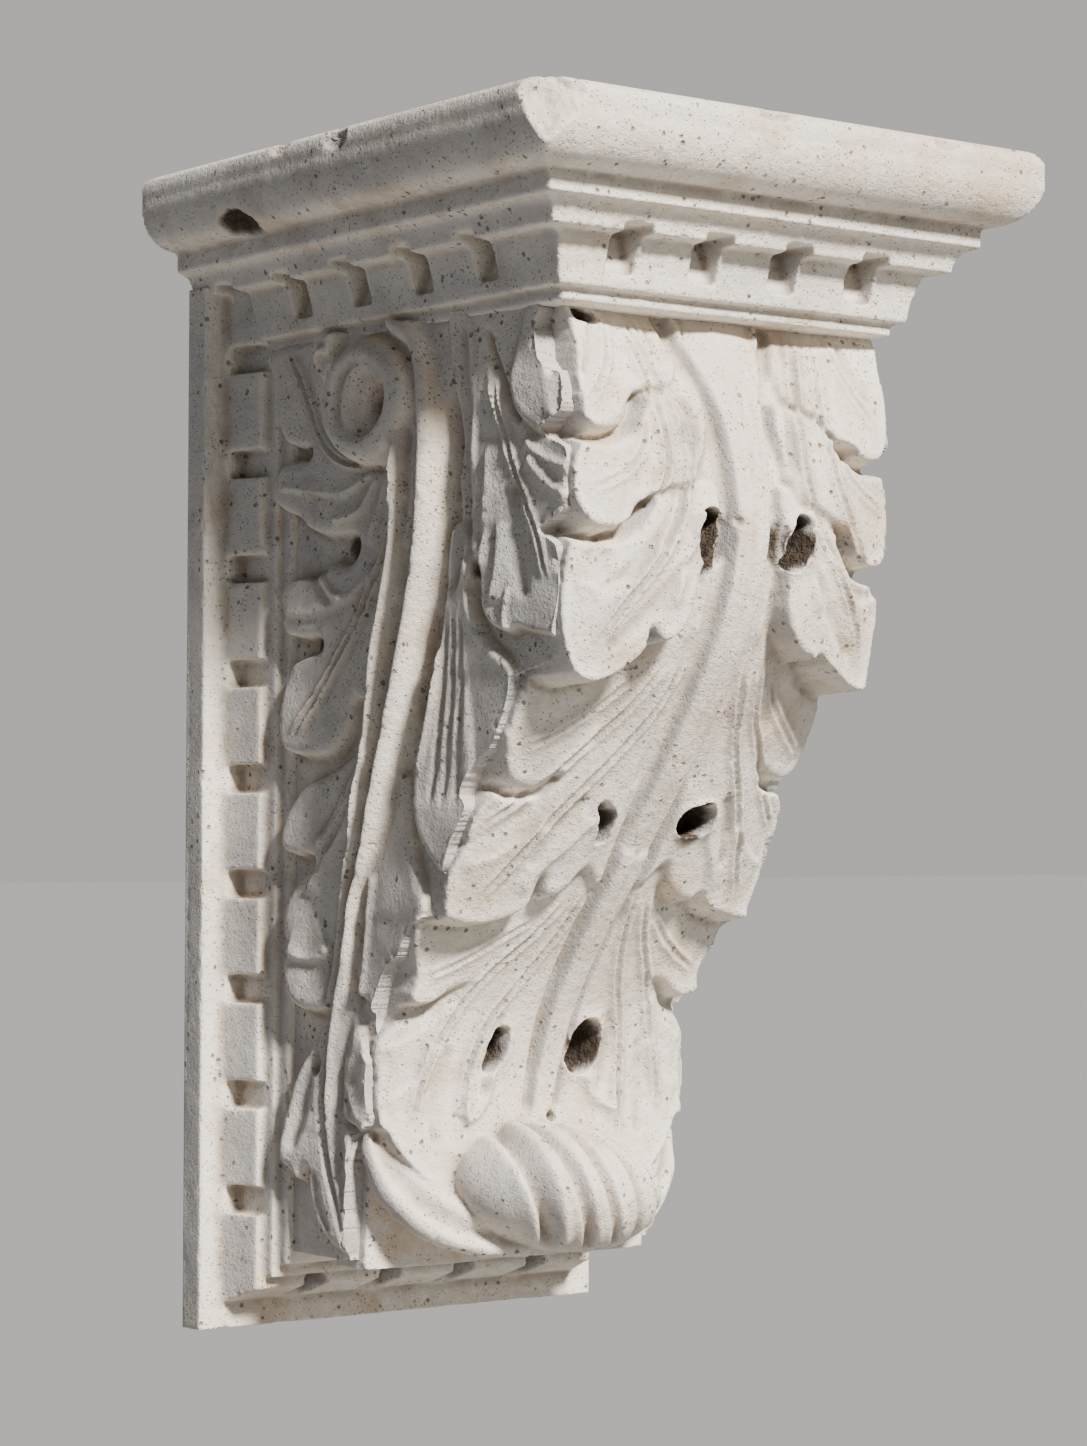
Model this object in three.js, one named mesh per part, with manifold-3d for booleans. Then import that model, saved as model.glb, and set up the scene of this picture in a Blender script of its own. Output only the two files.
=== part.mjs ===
// Stone corbel: a moulded slab with dentils on top, a dentilled frame against the wall, and a
// tapering S-shaped bracket between them, carved all over with acanthus leaves.
// Millimetres, +Z up. The wall is the plane y = 0, the front faces -Y, and x = 0 is the middle.
import * as THREE from "three";
import { mergeVertices } from "three/addons/utils/BufferGeometryUtils.js";
import Module from "manifold-3d";

const wasm = await Module();
wasm.setup();

// Slab on top
const slabTopZ = 303;
const slabUndersideZ = 271.7;
const slabHalfWidth = 159;
const slabDepth = 347;
const slabArris = 5;
const slabBandDrop = 12;
const slabOvoloFlat = 9;
const slabOvoloSteps = 5;

// Mouldings under the slab: how far each stands out beyond the lowest fillet, and its heights
const lowFilletHalfWidth = 101.3;
const lowFilletDepth = 287.3;
const lowFilletZ = 210.2;
const lowFilletHeight = 7.2;
const midFilletOut = 4.1;
const midFilletHeight = 6.6;
const dentilFootOut = 9.4;
const dentilHeadOut = 15.5;
const dentilHeight = 25.5;
const coveFootOut = 25.6;
const coveHeight = 12;
const coveSteps = 4;
const topFilletOut = 36.1;

// Frame against the wall
const plateHalfWidth = 129.6;
const plateBottomZ = -300;
const plateThickness = 16.7;
const frameDentilForward = 25;
const frameMidFilletForward = 31.5;
const frameLowFilletForward = 39.6;
// The frame's steps lie under the cap's, so their sides run straight up into it
const frameSideSteps = [dentilHeadOut, dentilFootOut, midFilletOut, 0].map(
  (out) => plateHalfWidth - lowFilletHalfWidth - out,
);
const frameFootSteps = [12.8, 22.5, 29, 36];

// Dentil notches
const notchSetBack = 0.4;
const notchHeadroom = 3;
const frontNotchWidth = 12.6;
const frontNotchPitch = 50.2;
const frontNotchCount = 4;
const sideNotchWidth = 15;
const sideNotchPitch = 53;
const sideNotchCount = 5;
const sideNotchFirst = 242;
const frameNotchHeight = 14.5;
const frameNotchPitch = 55;
const frameNotchCount = 9;
const frameNotchFirstZ = -232;
const footNotchWidth = 13;
const footNotchPitch = 48.5;
const footNotchCount = 4;

// Bracket body
const bodyHalfWidth = 97;
const bodyBottomZ = -258;
const bodySlices = 17;
const bodyFacets = 6;

// Depth of the bracket from the wall at each height: at its two edges and along its middle
const profileZ = [-300, -254, -200, -160, -124, -84, -43, -10, 30, 60, 100, 140, 180, 216];
const edgeDepth = [110, 112, 118, 126, 138, 162, 191, 217, 245, 261, 272, 276, 275, 268];
const middleDepth = [112, 115, 126, 140, 156, 184, 218, 244, 272, 290, 302, 299, 286, 268];

// Corner knocked off the slab
const chipAlongFront = 27;
const chipAlongSide = 20;
const chipSize = 80;

// Volute on each side
const voluteDepth = 138;
const voluteZ = 178;
const voluteRadius = 27;
const voluteEyeRadius = 15;
const voluteThroatRadius = 9;
const voluteHeight = 11;
const voluteThroatFloor = 2;
const voluteSegments = 14;

// Curled leaf end at the foot of the front
const curlDepth = 150;
const curlZ = -224;
const curlHalfWidth = 60;
const curlHalfDepth = 40;
const curlHalfHeight = 34;
const curlTurns = 14;
const curlRows = 7;
const curlGroove = 2.2;
const curlGrooveCount = 5;

// Crescent that runs out of the curl on each side: how far along the front, from the wall, and up
const hornAcross = [20, 56, 80, 91];
const hornDepth = [142, 136, 124, 116];
const hornZ = [-236, -240, -222, -196];
const hornThickRadius = 19.5;
const hornThinRadius = 2.5;

const stone = new THREE.MeshStandardMaterial({ color: 0xd9d5cc, roughness: 0.85, metalness: 0 });

// A closed geometry as a solid, with its faces turned outwards
function solidOf(geometry) {
  geometry.deleteAttribute("normal");
  geometry.deleteAttribute("uv");
  const merged = mergeVertices(geometry, 1e-4);
  const vertProperties = new Float32Array(merged.attributes.position.array);
  const triVerts = new Uint32Array(merged.index.array);
  const corner = (i) => new THREE.Vector3().fromArray(vertProperties, 3 * triVerts[i]);
  let volume = 0;
  for (let i = 0; i < triVerts.length; i += 3) {
    volume += corner(i).dot(corner(i + 1).cross(corner(i + 2)));
  }
  if (volume < 0) {
    for (let i = 0; i < triVerts.length; i += 3) {
      [triVerts[i + 1], triVerts[i + 2]] = [triVerts[i + 2], triVerts[i + 1]];
    }
  }
  const mesh = new wasm.Mesh({ numProp: 3, vertProperties, triVerts });
  return new wasm.Manifold(mesh);
}

function geometryOf(solid) {
  const mesh = solid.getMesh();
  const geometry = new THREE.BufferGeometry();
  geometry.setAttribute("position", new THREE.BufferAttribute(mesh.vertProperties, 3));
  geometry.setIndex(new THREE.BufferAttribute(mesh.triVerts, 1));
  geometry.computeVertexNormals();
  return geometry;
}

// A closed skin over rings of equal length, with flat ends
function skinOf(rings) {
  const count = rings[0].length;
  const points = rings.flat();
  const faces = [];
  for (let ring = 0; ring + 1 < rings.length; ring += 1) {
    for (let i = 0; i < count; i += 1) {
      const a = ring * count + i;
      const b = ring * count + ((i + 1) % count);
      faces.push([a, b, b + count], [a, b + count, a + count]);
    }
  }
  const last = (rings.length - 1) * count;
  for (let i = 1; i + 1 < count; i += 1) {
    faces.push([0, i + 1, i], [last, last + i, last + i + 1]);
  }
  const geometry = new THREE.BufferGeometry().setFromPoints(points);
  geometry.setIndex(faces.flat());
  return solidOf(geometry);
}

function box(x0, x1, y0, y1, z0, z1) {
  const geometry = new THREE.BoxGeometry(x1 - x0, y1 - y0, z1 - z0);
  geometry.translate((x0 + x1) / 2, (y0 + y1) / 2, (z0 + z1) / 2);
  return solidOf(geometry);
}

// Slab and mouldings: rectangles against the wall, one above the other
function cap() {
  const midFilletZ = lowFilletZ + lowFilletHeight;
  const dentilZ = midFilletZ + midFilletHeight;
  const coveZ = dentilZ + dentilHeight;
  const topFilletZ = coveZ + coveHeight;
  const slabOut = slabHalfWidth - lowFilletHalfWidth;
  const slabDeepen = slabDepth - lowFilletDepth - slabOut;
  const levels = [
    [0, lowFilletZ],
    [0, midFilletZ],
    [midFilletOut, midFilletZ + 0.8],
    [midFilletOut, dentilZ],
    [dentilFootOut, dentilZ + 0.5],
    [dentilHeadOut, coveZ - 0.8],
    [coveFootOut, coveZ],
  ];
  const coveRun = topFilletOut - coveFootOut - 1.2;
  for (let step = 1; step <= coveSteps; step += 1) {
    const turn = (step / coveSteps) * (Math.PI / 2);
    const out = coveFootOut + coveRun * (1 - Math.cos(turn));
    levels.push([out, coveZ + coveHeight * Math.sin(turn)]);
  }
  levels.push([topFilletOut, topFilletZ + 0.4], [topFilletOut, slabUndersideZ]);
  const ovoloFoot = topFilletOut + slabOvoloFlat;
  const ovoloTop = slabTopZ - slabBandDrop;
  for (let step = 0; step <= slabOvoloSteps; step += 1) {
    const turn = (step / slabOvoloSteps) * (Math.PI / 2);
    const out = ovoloFoot + (slabOut - ovoloFoot) * Math.sin(turn);
    levels.push([out, slabUndersideZ + 0.8 + (ovoloTop - slabUndersideZ - 0.8) * (1 - Math.cos(turn))]);
  }
  levels.push([slabOut - 0.6, slabTopZ - slabArris]);
  levels.push([slabOut - slabArris * 0.35, slabTopZ - slabArris * 0.3]);
  levels.push([slabOut - slabArris, slabTopZ]);
  const rings = levels.map(([out, z]) => {
    const deepen = slabDeepen * Math.max(0, (out - topFilletOut) / (slabOut - topFilletOut));
    const x = lowFilletHalfWidth + out;
    const y = -(lowFilletDepth + out + deepen);
    return [
      new THREE.Vector3(-x, 0, z),
      new THREE.Vector3(-x, y, z),
      new THREE.Vector3(x, y, z),
      new THREE.Vector3(x, 0, z),
    ];
  });
  return skinOf(rings);
}

// Frame: steps that rise off the plate and close in on the bracket
function frame() {
  const topZ = lowFilletZ + lowFilletHeight + midFilletHeight + dentilHeight - 2;
  const forward = [0, frameDentilForward, frameMidFilletForward, frameLowFilletForward];
  const ringAt = (side, foot, out) => {
    const x = plateHalfWidth - side;
    const y = -(plateThickness + out);
    const z = plateBottomZ + foot;
    return [
      new THREE.Vector3(-x, y, z),
      new THREE.Vector3(x, y, z),
      new THREE.Vector3(x, y, topZ),
      new THREE.Vector3(-x, y, topZ),
    ];
  };
  let solid = box(-plateHalfWidth, plateHalfWidth, -plateThickness, 0, plateBottomZ, topZ);
  for (let step = 0; step < 3; step += 1) {
    const near = step === 0 ? 0 : step + 1;
    const rings = [
      ringAt(frameSideSteps[near], frameFootSteps[near], -2),
      ringAt(frameSideSteps[near], frameFootSteps[near], 0),
      ringAt(frameSideSteps[step + 1], frameFootSteps[step + 1], forward[step + 1]),
    ];
    solid = solid.add(skinOf(rings));
  }
  return solid;
}

function notches() {
  const cuts = [];
  const wallX = lowFilletHalfWidth + midFilletOut + notchSetBack;
  const wallDepth = lowFilletDepth + midFilletOut + notchSetBack;
  const footZ = lowFilletZ + lowFilletHeight + midFilletHeight + 0.3;
  const headZ = footZ + dentilHeight - notchHeadroom;
  for (let i = 0; i < frontNotchCount; i += 1) {
    const x = (i - (frontNotchCount - 1) / 2) * frontNotchPitch;
    const half = frontNotchWidth / 2;
    cuts.push(box(x - half, x + half, -wallDepth - 30, -wallDepth, footZ, headZ));
  }
  for (const side of [-1, 1]) {
    for (let i = 0; i < sideNotchCount; i += 1) {
      const y = -(sideNotchFirst - i * sideNotchPitch);
      const half = sideNotchWidth / 2;
      const near = side < 0 ? -wallX - 30 : wallX;
      cuts.push(box(near, near + 30, y - half, y + half, footZ, headZ));
    }
    for (let i = 0; i < frameNotchCount; i += 1) {
      const z = frameNotchFirstZ + i * frameNotchPitch;
      const half = frameNotchHeight / 2;
      const floorY = -(plateThickness + 1.5);
      const faceY = -(plateThickness + frameDentilForward + 0.3);
      const edge = plateHalfWidth - frameSideSteps[2] + notchSetBack;
      const near = side < 0 ? -plateHalfWidth - 5 : edge;
      cuts.push(box(near, near + plateHalfWidth + 5 - edge, faceY, floorY, z - half, z + half));
    }
  }
  for (let i = 0; i < footNotchCount; i += 1) {
    const x = (i - (footNotchCount - 1) / 2) * footNotchPitch;
    const half = footNotchWidth / 2;
    const topZ = plateBottomZ + frameFootSteps[2] - notchSetBack;
    const faceY = -(plateThickness + frameDentilForward + 0.3);
    cuts.push(box(x - half, x + half, faceY, -(plateThickness + 1.5), plateBottomZ - 5, topZ));
  }
  return cuts;
}

// Straight lines between the listed heights would show as bends, so both profiles are smoothed
function smoothThrough(heights, depths) {
  return (z) => {
    let i = 0;
    while (i + 2 < heights.length && z > heights[i + 1]) {
      i += 1;
    }
    const run = heights[i + 1] - heights[i];
    const t = (z - heights[i]) / run;
    const before = Math.max(i - 1, 0);
    const after = Math.min(i + 2, heights.length - 1);
    const slopeA = ((depths[i + 1] - depths[before]) / (heights[i + 1] - heights[before])) * run;
    const slopeB = ((depths[after] - depths[i]) / (heights[after] - heights[i])) * run;
    const t2 = t * t;
    const t3 = t2 * t;
    const a = (2 * t3 - 3 * t2 + 1) * depths[i] + (t3 - 2 * t2 + t) * slopeA;
    return a + (3 * t2 - 2 * t3) * depths[i + 1] + (t3 - t2) * slopeB;
  };
}

const edgeAt = smoothThrough(profileZ, edgeDepth);
const middleAt = smoothThrough(profileZ, middleDepth);

function frontDepth(x, z) {
  const across = Math.min(Math.abs(x) / bodyHalfWidth, 1);
  return edgeAt(z) + (middleAt(z) - edgeAt(z)) * (1 - across * across);
}

function body() {
  const topZ = lowFilletZ + lowFilletHeight - 1;
  const rings = [];
  for (let slice = 0; slice <= bodySlices; slice += 1) {
    const z = bodyBottomZ + ((topZ - bodyBottomZ) * slice) / bodySlices;
    const ring = [new THREE.Vector3(bodyHalfWidth, 0, z), new THREE.Vector3(-bodyHalfWidth, 0, z)];
    for (let facet = 0; facet <= bodyFacets; facet += 1) {
      const x = -bodyHalfWidth + (2 * bodyHalfWidth * facet) / bodyFacets;
      ring.push(new THREE.Vector3(x, -frontDepth(x, z), z));
    }
    rings.push(ring);
  }
  return skinOf(rings);
}

// The two carved grounds: (u, v, h) is a place on the ground and a height off it
const front = (mirror) => (u, v, h) => new THREE.Vector3(mirror * u, -frontDepth(u, v) - h, v);
const flank = (mirror) => (u, v, h) => new THREE.Vector3(mirror * (bodyHalfWidth + h), -u, v);

// Half-width along a lobe: it swells from its root to its widest place and ends round
function halfWidth(t, root, wide, widestAt) {
  if (t < widestAt) {
    const k = t / widestAt;
    return root + (wide - root) * k * k * (3 - 2 * k);
  }
  const k = (t - widestAt) / (1 - widestAt);
  return wide * Math.sqrt(Math.max(1 - k * k, 0));
}

// One leaf lobe, laid along a curve on a ground: crowned, with a steep edge down into the stone
function lobe(ground, form, stations = 5) {
  const curve = new THREE.CatmullRomCurve3(form.along.map(([u, v]) => new THREE.Vector3(u, v, 0)));
  const widestAt = form.widestAt ?? 0.6;
  const edge = form.edge ?? 3;
  const sink = form.sink ?? 5;
  const rings = [];
  for (let i = 0; i <= stations; i += 1) {
    const t = i === stations ? 0.985 : i / stations;
    const centre = curve.getPoint(t);
    const run = curve.getTangent(t);
    const half = halfWidth(t, form.root, form.wide, widestAt);
    const lift = form.rise[0] + (form.rise[1] - form.rise[0]) * t ** 1.4;
    const across = (s, h) => {
      const u = centre.x - run.y * s * half;
      const v = centre.y + run.x * s * half;
      const overhangs = form.thick && Math.abs(u) > bodyHalfWidth - 4;
      const under = overhangs ? Math.max(lift - form.thick, -sink) : -sink;
      return ground(u, v, h === null ? under : h);
    };
    rings.push([
      across(-1, null),
      across(-1, lift - edge),
      across(0, lift),
      across(1, lift - edge),
      across(1, null),
    ]);
  }
  return skinOf(rings);
}

// A long rounded stem that tapers from one half-width to another
function stem(ground, form, stations = 10) {
  const curve = new THREE.CatmullRomCurve3(form.along.map(([u, v]) => new THREE.Vector3(u, v, 0)));
  const rings = [];
  for (let i = 0; i <= stations; i += 1) {
    const t = i / stations;
    const centre = curve.getPoint(t);
    const run = curve.getTangent(t);
    const half = form.width[0] + (form.width[1] - form.width[0]) * t;
    const lift = form.rise[0] + (form.rise[1] - form.rise[0]) * t;
    const across = (s, h) => ground(centre.x - run.y * s * half, centre.y + run.x * s * half, h);
    const shoulder = lift * 0.55;
    rings.push([
      across(-1, -5),
      across(-0.8, shoulder),
      across(0, lift),
      across(0.8, shoulder),
      across(1, -5),
    ]);
  }
  return skinOf(rings);
}

// Three leaves lie one over the other down the front: lobes of one half of each
const frontLobes = [
  { along: [[44, 214], [74, 200], [92, 154]], root: 20, wide: 19, rise: [6, 17], thick: 15 },
  { along: [[38, 165], [68, 142], [90, 107]], root: 14, wide: 16, rise: [3, 15], thick: 14 },
  { along: [[32, 130], [56, 82], [88, 35]], root: 12, wide: 22, rise: [3, 27], thick: 17 },
  { along: [[30, 120], [34, 84], [46, 52]], root: 6, wide: 11, rise: [2, 14] },
  { along: [[34, 44], [62, 22], [90, -9]], root: 12, wide: 16, rise: [2, 13], thick: 13 },
  { along: [[38, 2], [70, -18], [96, -44]], root: 8, wide: 11, rise: [2, 15], thick: 13 },
  { along: [[32, 0], [56, -44], [86, -82]], root: 10, wide: 23, rise: [2, 22], thick: 15 },
  { along: [[30, -24], [35, -50], [45, -70]], root: 6, wide: 10, rise: [2, 12] },
  { along: [[38, -72], [66, -92], [92, -120]], root: 12, wide: 16, rise: [1, 14], thick: 12 },
  { along: [[36, -122], [66, -134], [97, -152]], root: 12, wide: 14, rise: [1, 9], thick: 10 },
  { along: [[34, -130], [62, -156], [95, -184]], root: 12, wide: 14, rise: [1, 10], thick: 10 },
  { along: [[32, -140], [54, -182], [84, -208]], root: 14, wide: 17, rise: [1, 11], thick: 11 },
  { along: [[30, -140], [40, -184], [52, -222]], root: 10, wide: 14, rise: [1, 12] },
];

// The leaf on each flank: lobes on both sides of a stem that springs from the volute
const flankLobes = [
  { along: [[98, 156], [76, 178], [68, 209]], root: 17, wide: 17, rise: [4, 8], widestAt: 0.5 },
  { along: [[146, 134], [98, 134], [50, 139]], root: 18, wide: 17, rise: [4, 9] },
  { along: [[122, 88], [88, 84], [58, 83]], root: 9, wide: 9, rise: [3, 8] },
  { along: [[134, 76], [96, 70], [58, 68]], root: 14, wide: 10, rise: [4, 8] },
  { along: [[158, 96], [112, 50], [66, 10]], root: 16, wide: 28, rise: [4, 10] },
  { along: [[140, 0], [104, -24], [64, -42]], root: 15, wide: 18, rise: [4, 9] },
  { along: [[126, -40], [94, -78], [76, -126]], root: 14, wide: 21, rise: [4, 10] },
  { along: [[98, -134], [76, -176], [66, -216]], root: 11, wide: 15, rise: [4, 8] },
  { along: [[92, -130], [90, -200], [116, -252]], root: 10, wide: 20, rise: [4, 8] },
  { along: [[98, -128], [112, -146], [126, -170]], root: 6, wide: 9, rise: [3, 7] },
  { along: [[96, -166], [112, -184], [122, -206]], root: 8, wide: 9, rise: [3, 7] },
  { along: [[140, -36], [152, -84], [148, -136]], root: 8, wide: 18, rise: [3, 8] },
  { along: [[198, 70], [188, 8], [193, -56]], root: 8, wide: 20, rise: [3, 9] },
  { along: [[210, 56], [222, 8], [214, -30]], root: 6, wide: 13, rise: [2, 7] },
  { along: [[226, 208], [240, 130], [268, 60]], root: 12, wide: 24, rise: [5, 9] },
  { along: [[262, 210], [276, 184], [280, 152]], root: 14, wide: 15, rise: [4, 8] },
  { along: [[250, 164], [268, 142], [284, 132]], root: 7, wide: 9, rise: [4, 9] },
];

const flankStems = [
  { along: [[66, 207], [90, 164], [124, 144], [160, 160]], width: [5, 5], rise: [8, 10] },
  { along: [[165, 180], [163, 136], [128, 72], [70, 13]], width: [6, 3], rise: [12, 11] },
  {
    along: [[164, 160], [163, 110], [147, 50], [134, -12], [109, -90], [90, -170], [107, -246]],
    width: [8, 3.5],
    rise: [11, 9],
  },
  {
    along: [[168, 211], [188, 176], [187, 120], [164, 30], [130, -60], [99, -150], [109, -240]],
    width: [13, 4],
    rise: [13, 9],
  },
  { along: [[220, 206], [231, 140], [229, 92]], width: [5, 3], rise: [9, 9] },
  { along: [[219, 94], [226, 58], [256, 10]], width: [4, 3], rise: [9, 9] },
];

const frontStems = [
  { along: [[0, 212], [0, 100], [0, -40], [0, -190]], width: [29, 9], rise: [7, 4] },
  { along: [[44, 212], [26, 130], [18, 0], [18, -120]], width: [10, 4], rise: [7, 4] },
];

function volute(mirror) {
  const profile = [
    [0, voluteThroatFloor],
    [voluteThroatRadius * 0.9, voluteThroatFloor],
    [voluteEyeRadius, voluteHeight - 2],
    [(voluteEyeRadius + voluteRadius) / 2, voluteHeight],
    [voluteRadius, voluteHeight - 4],
    [voluteRadius, -5],
    [0, -5],
  ].map(([r, h]) => new THREE.Vector2(r, h));
  const geometry = new THREE.LatheGeometry(profile, voluteSegments);
  geometry.rotateZ(-mirror * (Math.PI / 2));
  geometry.translate(mirror * bodyHalfWidth, -voluteDepth, voluteZ);
  return solidOf(geometry);
}

// The throat of the volute, cut once the stems that cross it are in place
function voluteThroat(mirror) {
  const profile = [
    [0, voluteThroatFloor],
    [voluteThroatRadius, voluteThroatFloor],
    [voluteEyeRadius, voluteHeight + 8],
    [0, voluteHeight + 8],
  ].map(([r, h]) => new THREE.Vector2(r, h));
  const geometry = new THREE.LatheGeometry(profile, voluteSegments);
  geometry.rotateZ(-mirror * (Math.PI / 2));
  geometry.translate(mirror * bodyHalfWidth, -voluteDepth, voluteZ);
  return solidOf(geometry);
}

// The curl: a fat roll across the front, with grooves that wind round it
function curl() {
  const geometry = new THREE.SphereGeometry(1, curlTurns, curlRows);
  const place = geometry.attributes.position;
  for (let i = 0; i < place.count; i += 1) {
    const point = new THREE.Vector3().fromBufferAttribute(place, i);
    const turn = Math.atan2(point.z, point.x);
    const wave = 0.5 + 0.5 * Math.cos(curlGrooveCount * turn + 4 * point.y);
    const groove = 1 - (curlGroove / curlHalfHeight) * wave * (1 - point.y ** 2);
    const x = point.y * curlHalfWidth;
    const y = -curlDepth - point.x * curlHalfDepth * groove;
    place.setXYZ(i, x, y, curlZ + point.z * curlHalfHeight * groove);
  }
  return solidOf(geometry);
}

// The leaf's underside runs out of the curl to a point at each side
function curlHorn(mirror) {
  const points = hornAcross.map((across, i) => new THREE.Vector3(mirror * across, -hornDepth[i], hornZ[i]));
  const spine = new THREE.CatmullRomCurve3(points);
  const rings = [];
  const stations = 6;
  const sides = 7;
  for (let i = 0; i <= stations; i += 1) {
    const t = i / stations;
    const centre = spine.getPoint(t);
    const run = spine.getTangent(t);
    const radius = hornThinRadius + (hornThickRadius - hornThinRadius) * (1 - t) ** 0.8;
    const across = new THREE.Vector3(0, 1, 0).cross(run).normalize();
    const out = new THREE.Vector3().crossVectors(run, across).normalize();
    const ring = [];
    for (let k = 0; k < sides; k += 1) {
      const turn = (k / sides) * Math.PI * 2;
      const point = centre.clone().addScaledVector(across, radius * Math.cos(turn));
      ring.push(point.addScaledVector(out, radius * Math.sin(turn)));
    }
    rings.push(ring);
  }
  return skinOf(rings);
}

function chip() {
  const geometry = new THREE.BoxGeometry(chipSize, chipSize, chipSize);
  geometry.translate(0, -chipSize / 2, 0);
  geometry.rotateZ(-Math.atan2(chipAlongSide, chipAlongFront));
  const x = -slabHalfWidth + chipAlongFront / 2;
  const y = -slabDepth + chipAlongSide / 2;
  geometry.translate(x, y, slabUndersideZ + chipSize / 2 + 2);
  return solidOf(geometry);
}

let corbel = cap().add(frame());
for (const cut of notches()) {
  corbel = corbel.subtract(cut);
}
corbel = corbel.subtract(chip()).add(body());
for (const mirror of [-1, 1]) {
  for (const form of flankLobes) {
    corbel = corbel.add(lobe(flank(mirror), form));
  }
  for (const form of flankStems) {
    corbel = corbel.add(stem(flank(mirror), form, form.along.length > 4 ? 10 : 6));
  }
  corbel = corbel.add(volute(mirror)).subtract(voluteThroat(mirror));
  for (const form of frontLobes) {
    corbel = corbel.add(lobe(front(mirror), form));
  }
  corbel = corbel.add(curlHorn(mirror));
}
corbel = corbel.add(stem(front(1), frontStems[0], 10));
for (const mirror of [-1, 1]) {
  corbel = corbel.add(stem(front(mirror), frontStems[1], 8));
}
corbel = corbel.add(curl());

const mesh = new THREE.Mesh(geometryOf(corbel), stone);
mesh.name = "corbel";

const object = new THREE.Group();
object.add(mesh);

export default object;
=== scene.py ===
import math
import bpy
import numpy as np
from mathutils import Matrix, Vector


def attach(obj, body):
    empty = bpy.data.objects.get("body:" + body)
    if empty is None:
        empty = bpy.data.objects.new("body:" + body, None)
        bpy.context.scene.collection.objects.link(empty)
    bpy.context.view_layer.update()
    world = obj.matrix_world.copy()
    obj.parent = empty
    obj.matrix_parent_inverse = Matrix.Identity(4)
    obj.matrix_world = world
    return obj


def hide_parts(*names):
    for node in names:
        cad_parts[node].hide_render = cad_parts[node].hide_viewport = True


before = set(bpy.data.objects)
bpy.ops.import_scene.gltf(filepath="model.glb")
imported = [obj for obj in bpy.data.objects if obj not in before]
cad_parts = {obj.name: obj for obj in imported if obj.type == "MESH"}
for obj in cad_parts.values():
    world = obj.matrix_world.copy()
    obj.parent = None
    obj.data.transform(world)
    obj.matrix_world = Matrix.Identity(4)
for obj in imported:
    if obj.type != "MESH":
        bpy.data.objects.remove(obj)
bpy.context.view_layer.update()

MM = 0.001

# Sizes in millimetres; depths are measured out from the wall
SLAB_TOP = 303.0
SLAB_UNDERSIDE = 271.7
SLAB_HALF = 159.0
SLAB_DEPTH = 347.0
CAP_HALF = 101.3
CAP_DEPTH = 287.3
CAP_BOTTOM = 210.2
PLATE_HALF = 129.6
PLATE_BOTTOM = -300.0
PLATE_THICK = 16.7
BODY_HALF = 97.0
BODY_BOTTOM = -258.0
FRAME_TOP = 247.0
BOX_LOW = np.array([-SLAB_HALF, -SLAB_DEPTH, PLATE_BOTTOM])
BOX_HIGH = np.array([SLAB_HALF, 0, SLAB_TOP])

# The bracket's front, as depths at heights, by its edge and in the middle
PROFILE_Z = [-300, -254, -200, -160, -124, -84, -43, -10, 30, 60, 100, 140, 180, 216]
EDGE_DEPTH = [110, 112, 118, 126, 138, 162, 191, 217, 245, 261, 272, 276, 275, 268]
MIDDLE_DEPTH = [112, 115, 126, 140, 156, 184, 218, 244, 272, 290, 302, 299, 286, 268]


# Helpers
def deselect():
    if bpy.context.object and bpy.context.object.mode != "OBJECT":
        bpy.ops.object.mode_set(mode="OBJECT")
    bpy.ops.object.select_all(action="DESELECT")


def activate(piece):
    deselect()
    piece.select_set(True)
    bpy.context.view_layer.objects.active = piece


def apply_modifier(piece, kind, **settings):
    activate(piece)
    modifier = piece.modifiers.new(kind.title(), kind)
    for name, value in settings.items():
        setattr(modifier, name, value)
    bpy.ops.object.modifier_apply(modifier=modifier.name)


def join(pieces):
    deselect()
    for piece in pieces:
        piece.select_set(True)
    bpy.context.view_layer.objects.active = pieces[0]
    bpy.ops.object.join()
    return pieces[0]


def combine(piece, other, operation):
    """Add the other piece to this one or take it away, then delete it"""
    apply_modifier(piece, "BOOLEAN", operation=operation, solver="EXACT", object=other)
    deselect()
    other.select_set(True)
    bpy.ops.object.delete()


def face_outward(piece):
    activate(piece)
    bpy.ops.object.mode_set(mode="EDIT")
    bpy.ops.mesh.select_all(action="SELECT")
    bpy.ops.mesh.normals_make_consistent(inside=False)
    bpy.ops.object.mode_set(mode="OBJECT")


def read(items, name, width=1, kind=np.float32):
    """A row of values for each item of a mesh"""
    data = np.empty(len(items) * width, kind)
    items.foreach_get(name, data)
    return data.reshape(-1, width)


def points_of(piece):
    return read(piece.data.vertices, "co", 3).astype(float) / MM


def normals_of(piece):
    return read(piece.data.vertices, "normal", 3).astype(float)


def edges_of(piece):
    return read(piece.data.edges, "vertices", 2, np.int32)


def set_points(piece, points):
    piece.data.vertices.foreach_set("co", (points * MM).astype(np.float32).ravel())
    piece.data.update()


def place(piece, name):
    activate(piece)
    bpy.ops.object.transform_apply(location=True, rotation=True, scale=True)
    piece.name = name
    return piece


def smooth_through(keys, values, at):
    """A smooth curve through values named at a few keys"""
    keys = np.array(keys, float)
    values = np.array(values, float)
    slopes = np.gradient(values, keys)
    i = np.clip(np.searchsorted(keys, at) - 1, 0, len(keys) - 2)
    gap = keys[i + 1] - keys[i]
    t = np.clip((at - keys[i]) / gap, 0, 1)
    a = (1 + 2 * t) * (1 - t) ** 2
    b = t * (1 - t) ** 2
    c = t * t * (3 - 2 * t)
    d = t * t * (t - 1)
    return a * values[i] + b * gap * slopes[i] + c * values[i + 1] + d * gap * slopes[i + 1]


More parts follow.
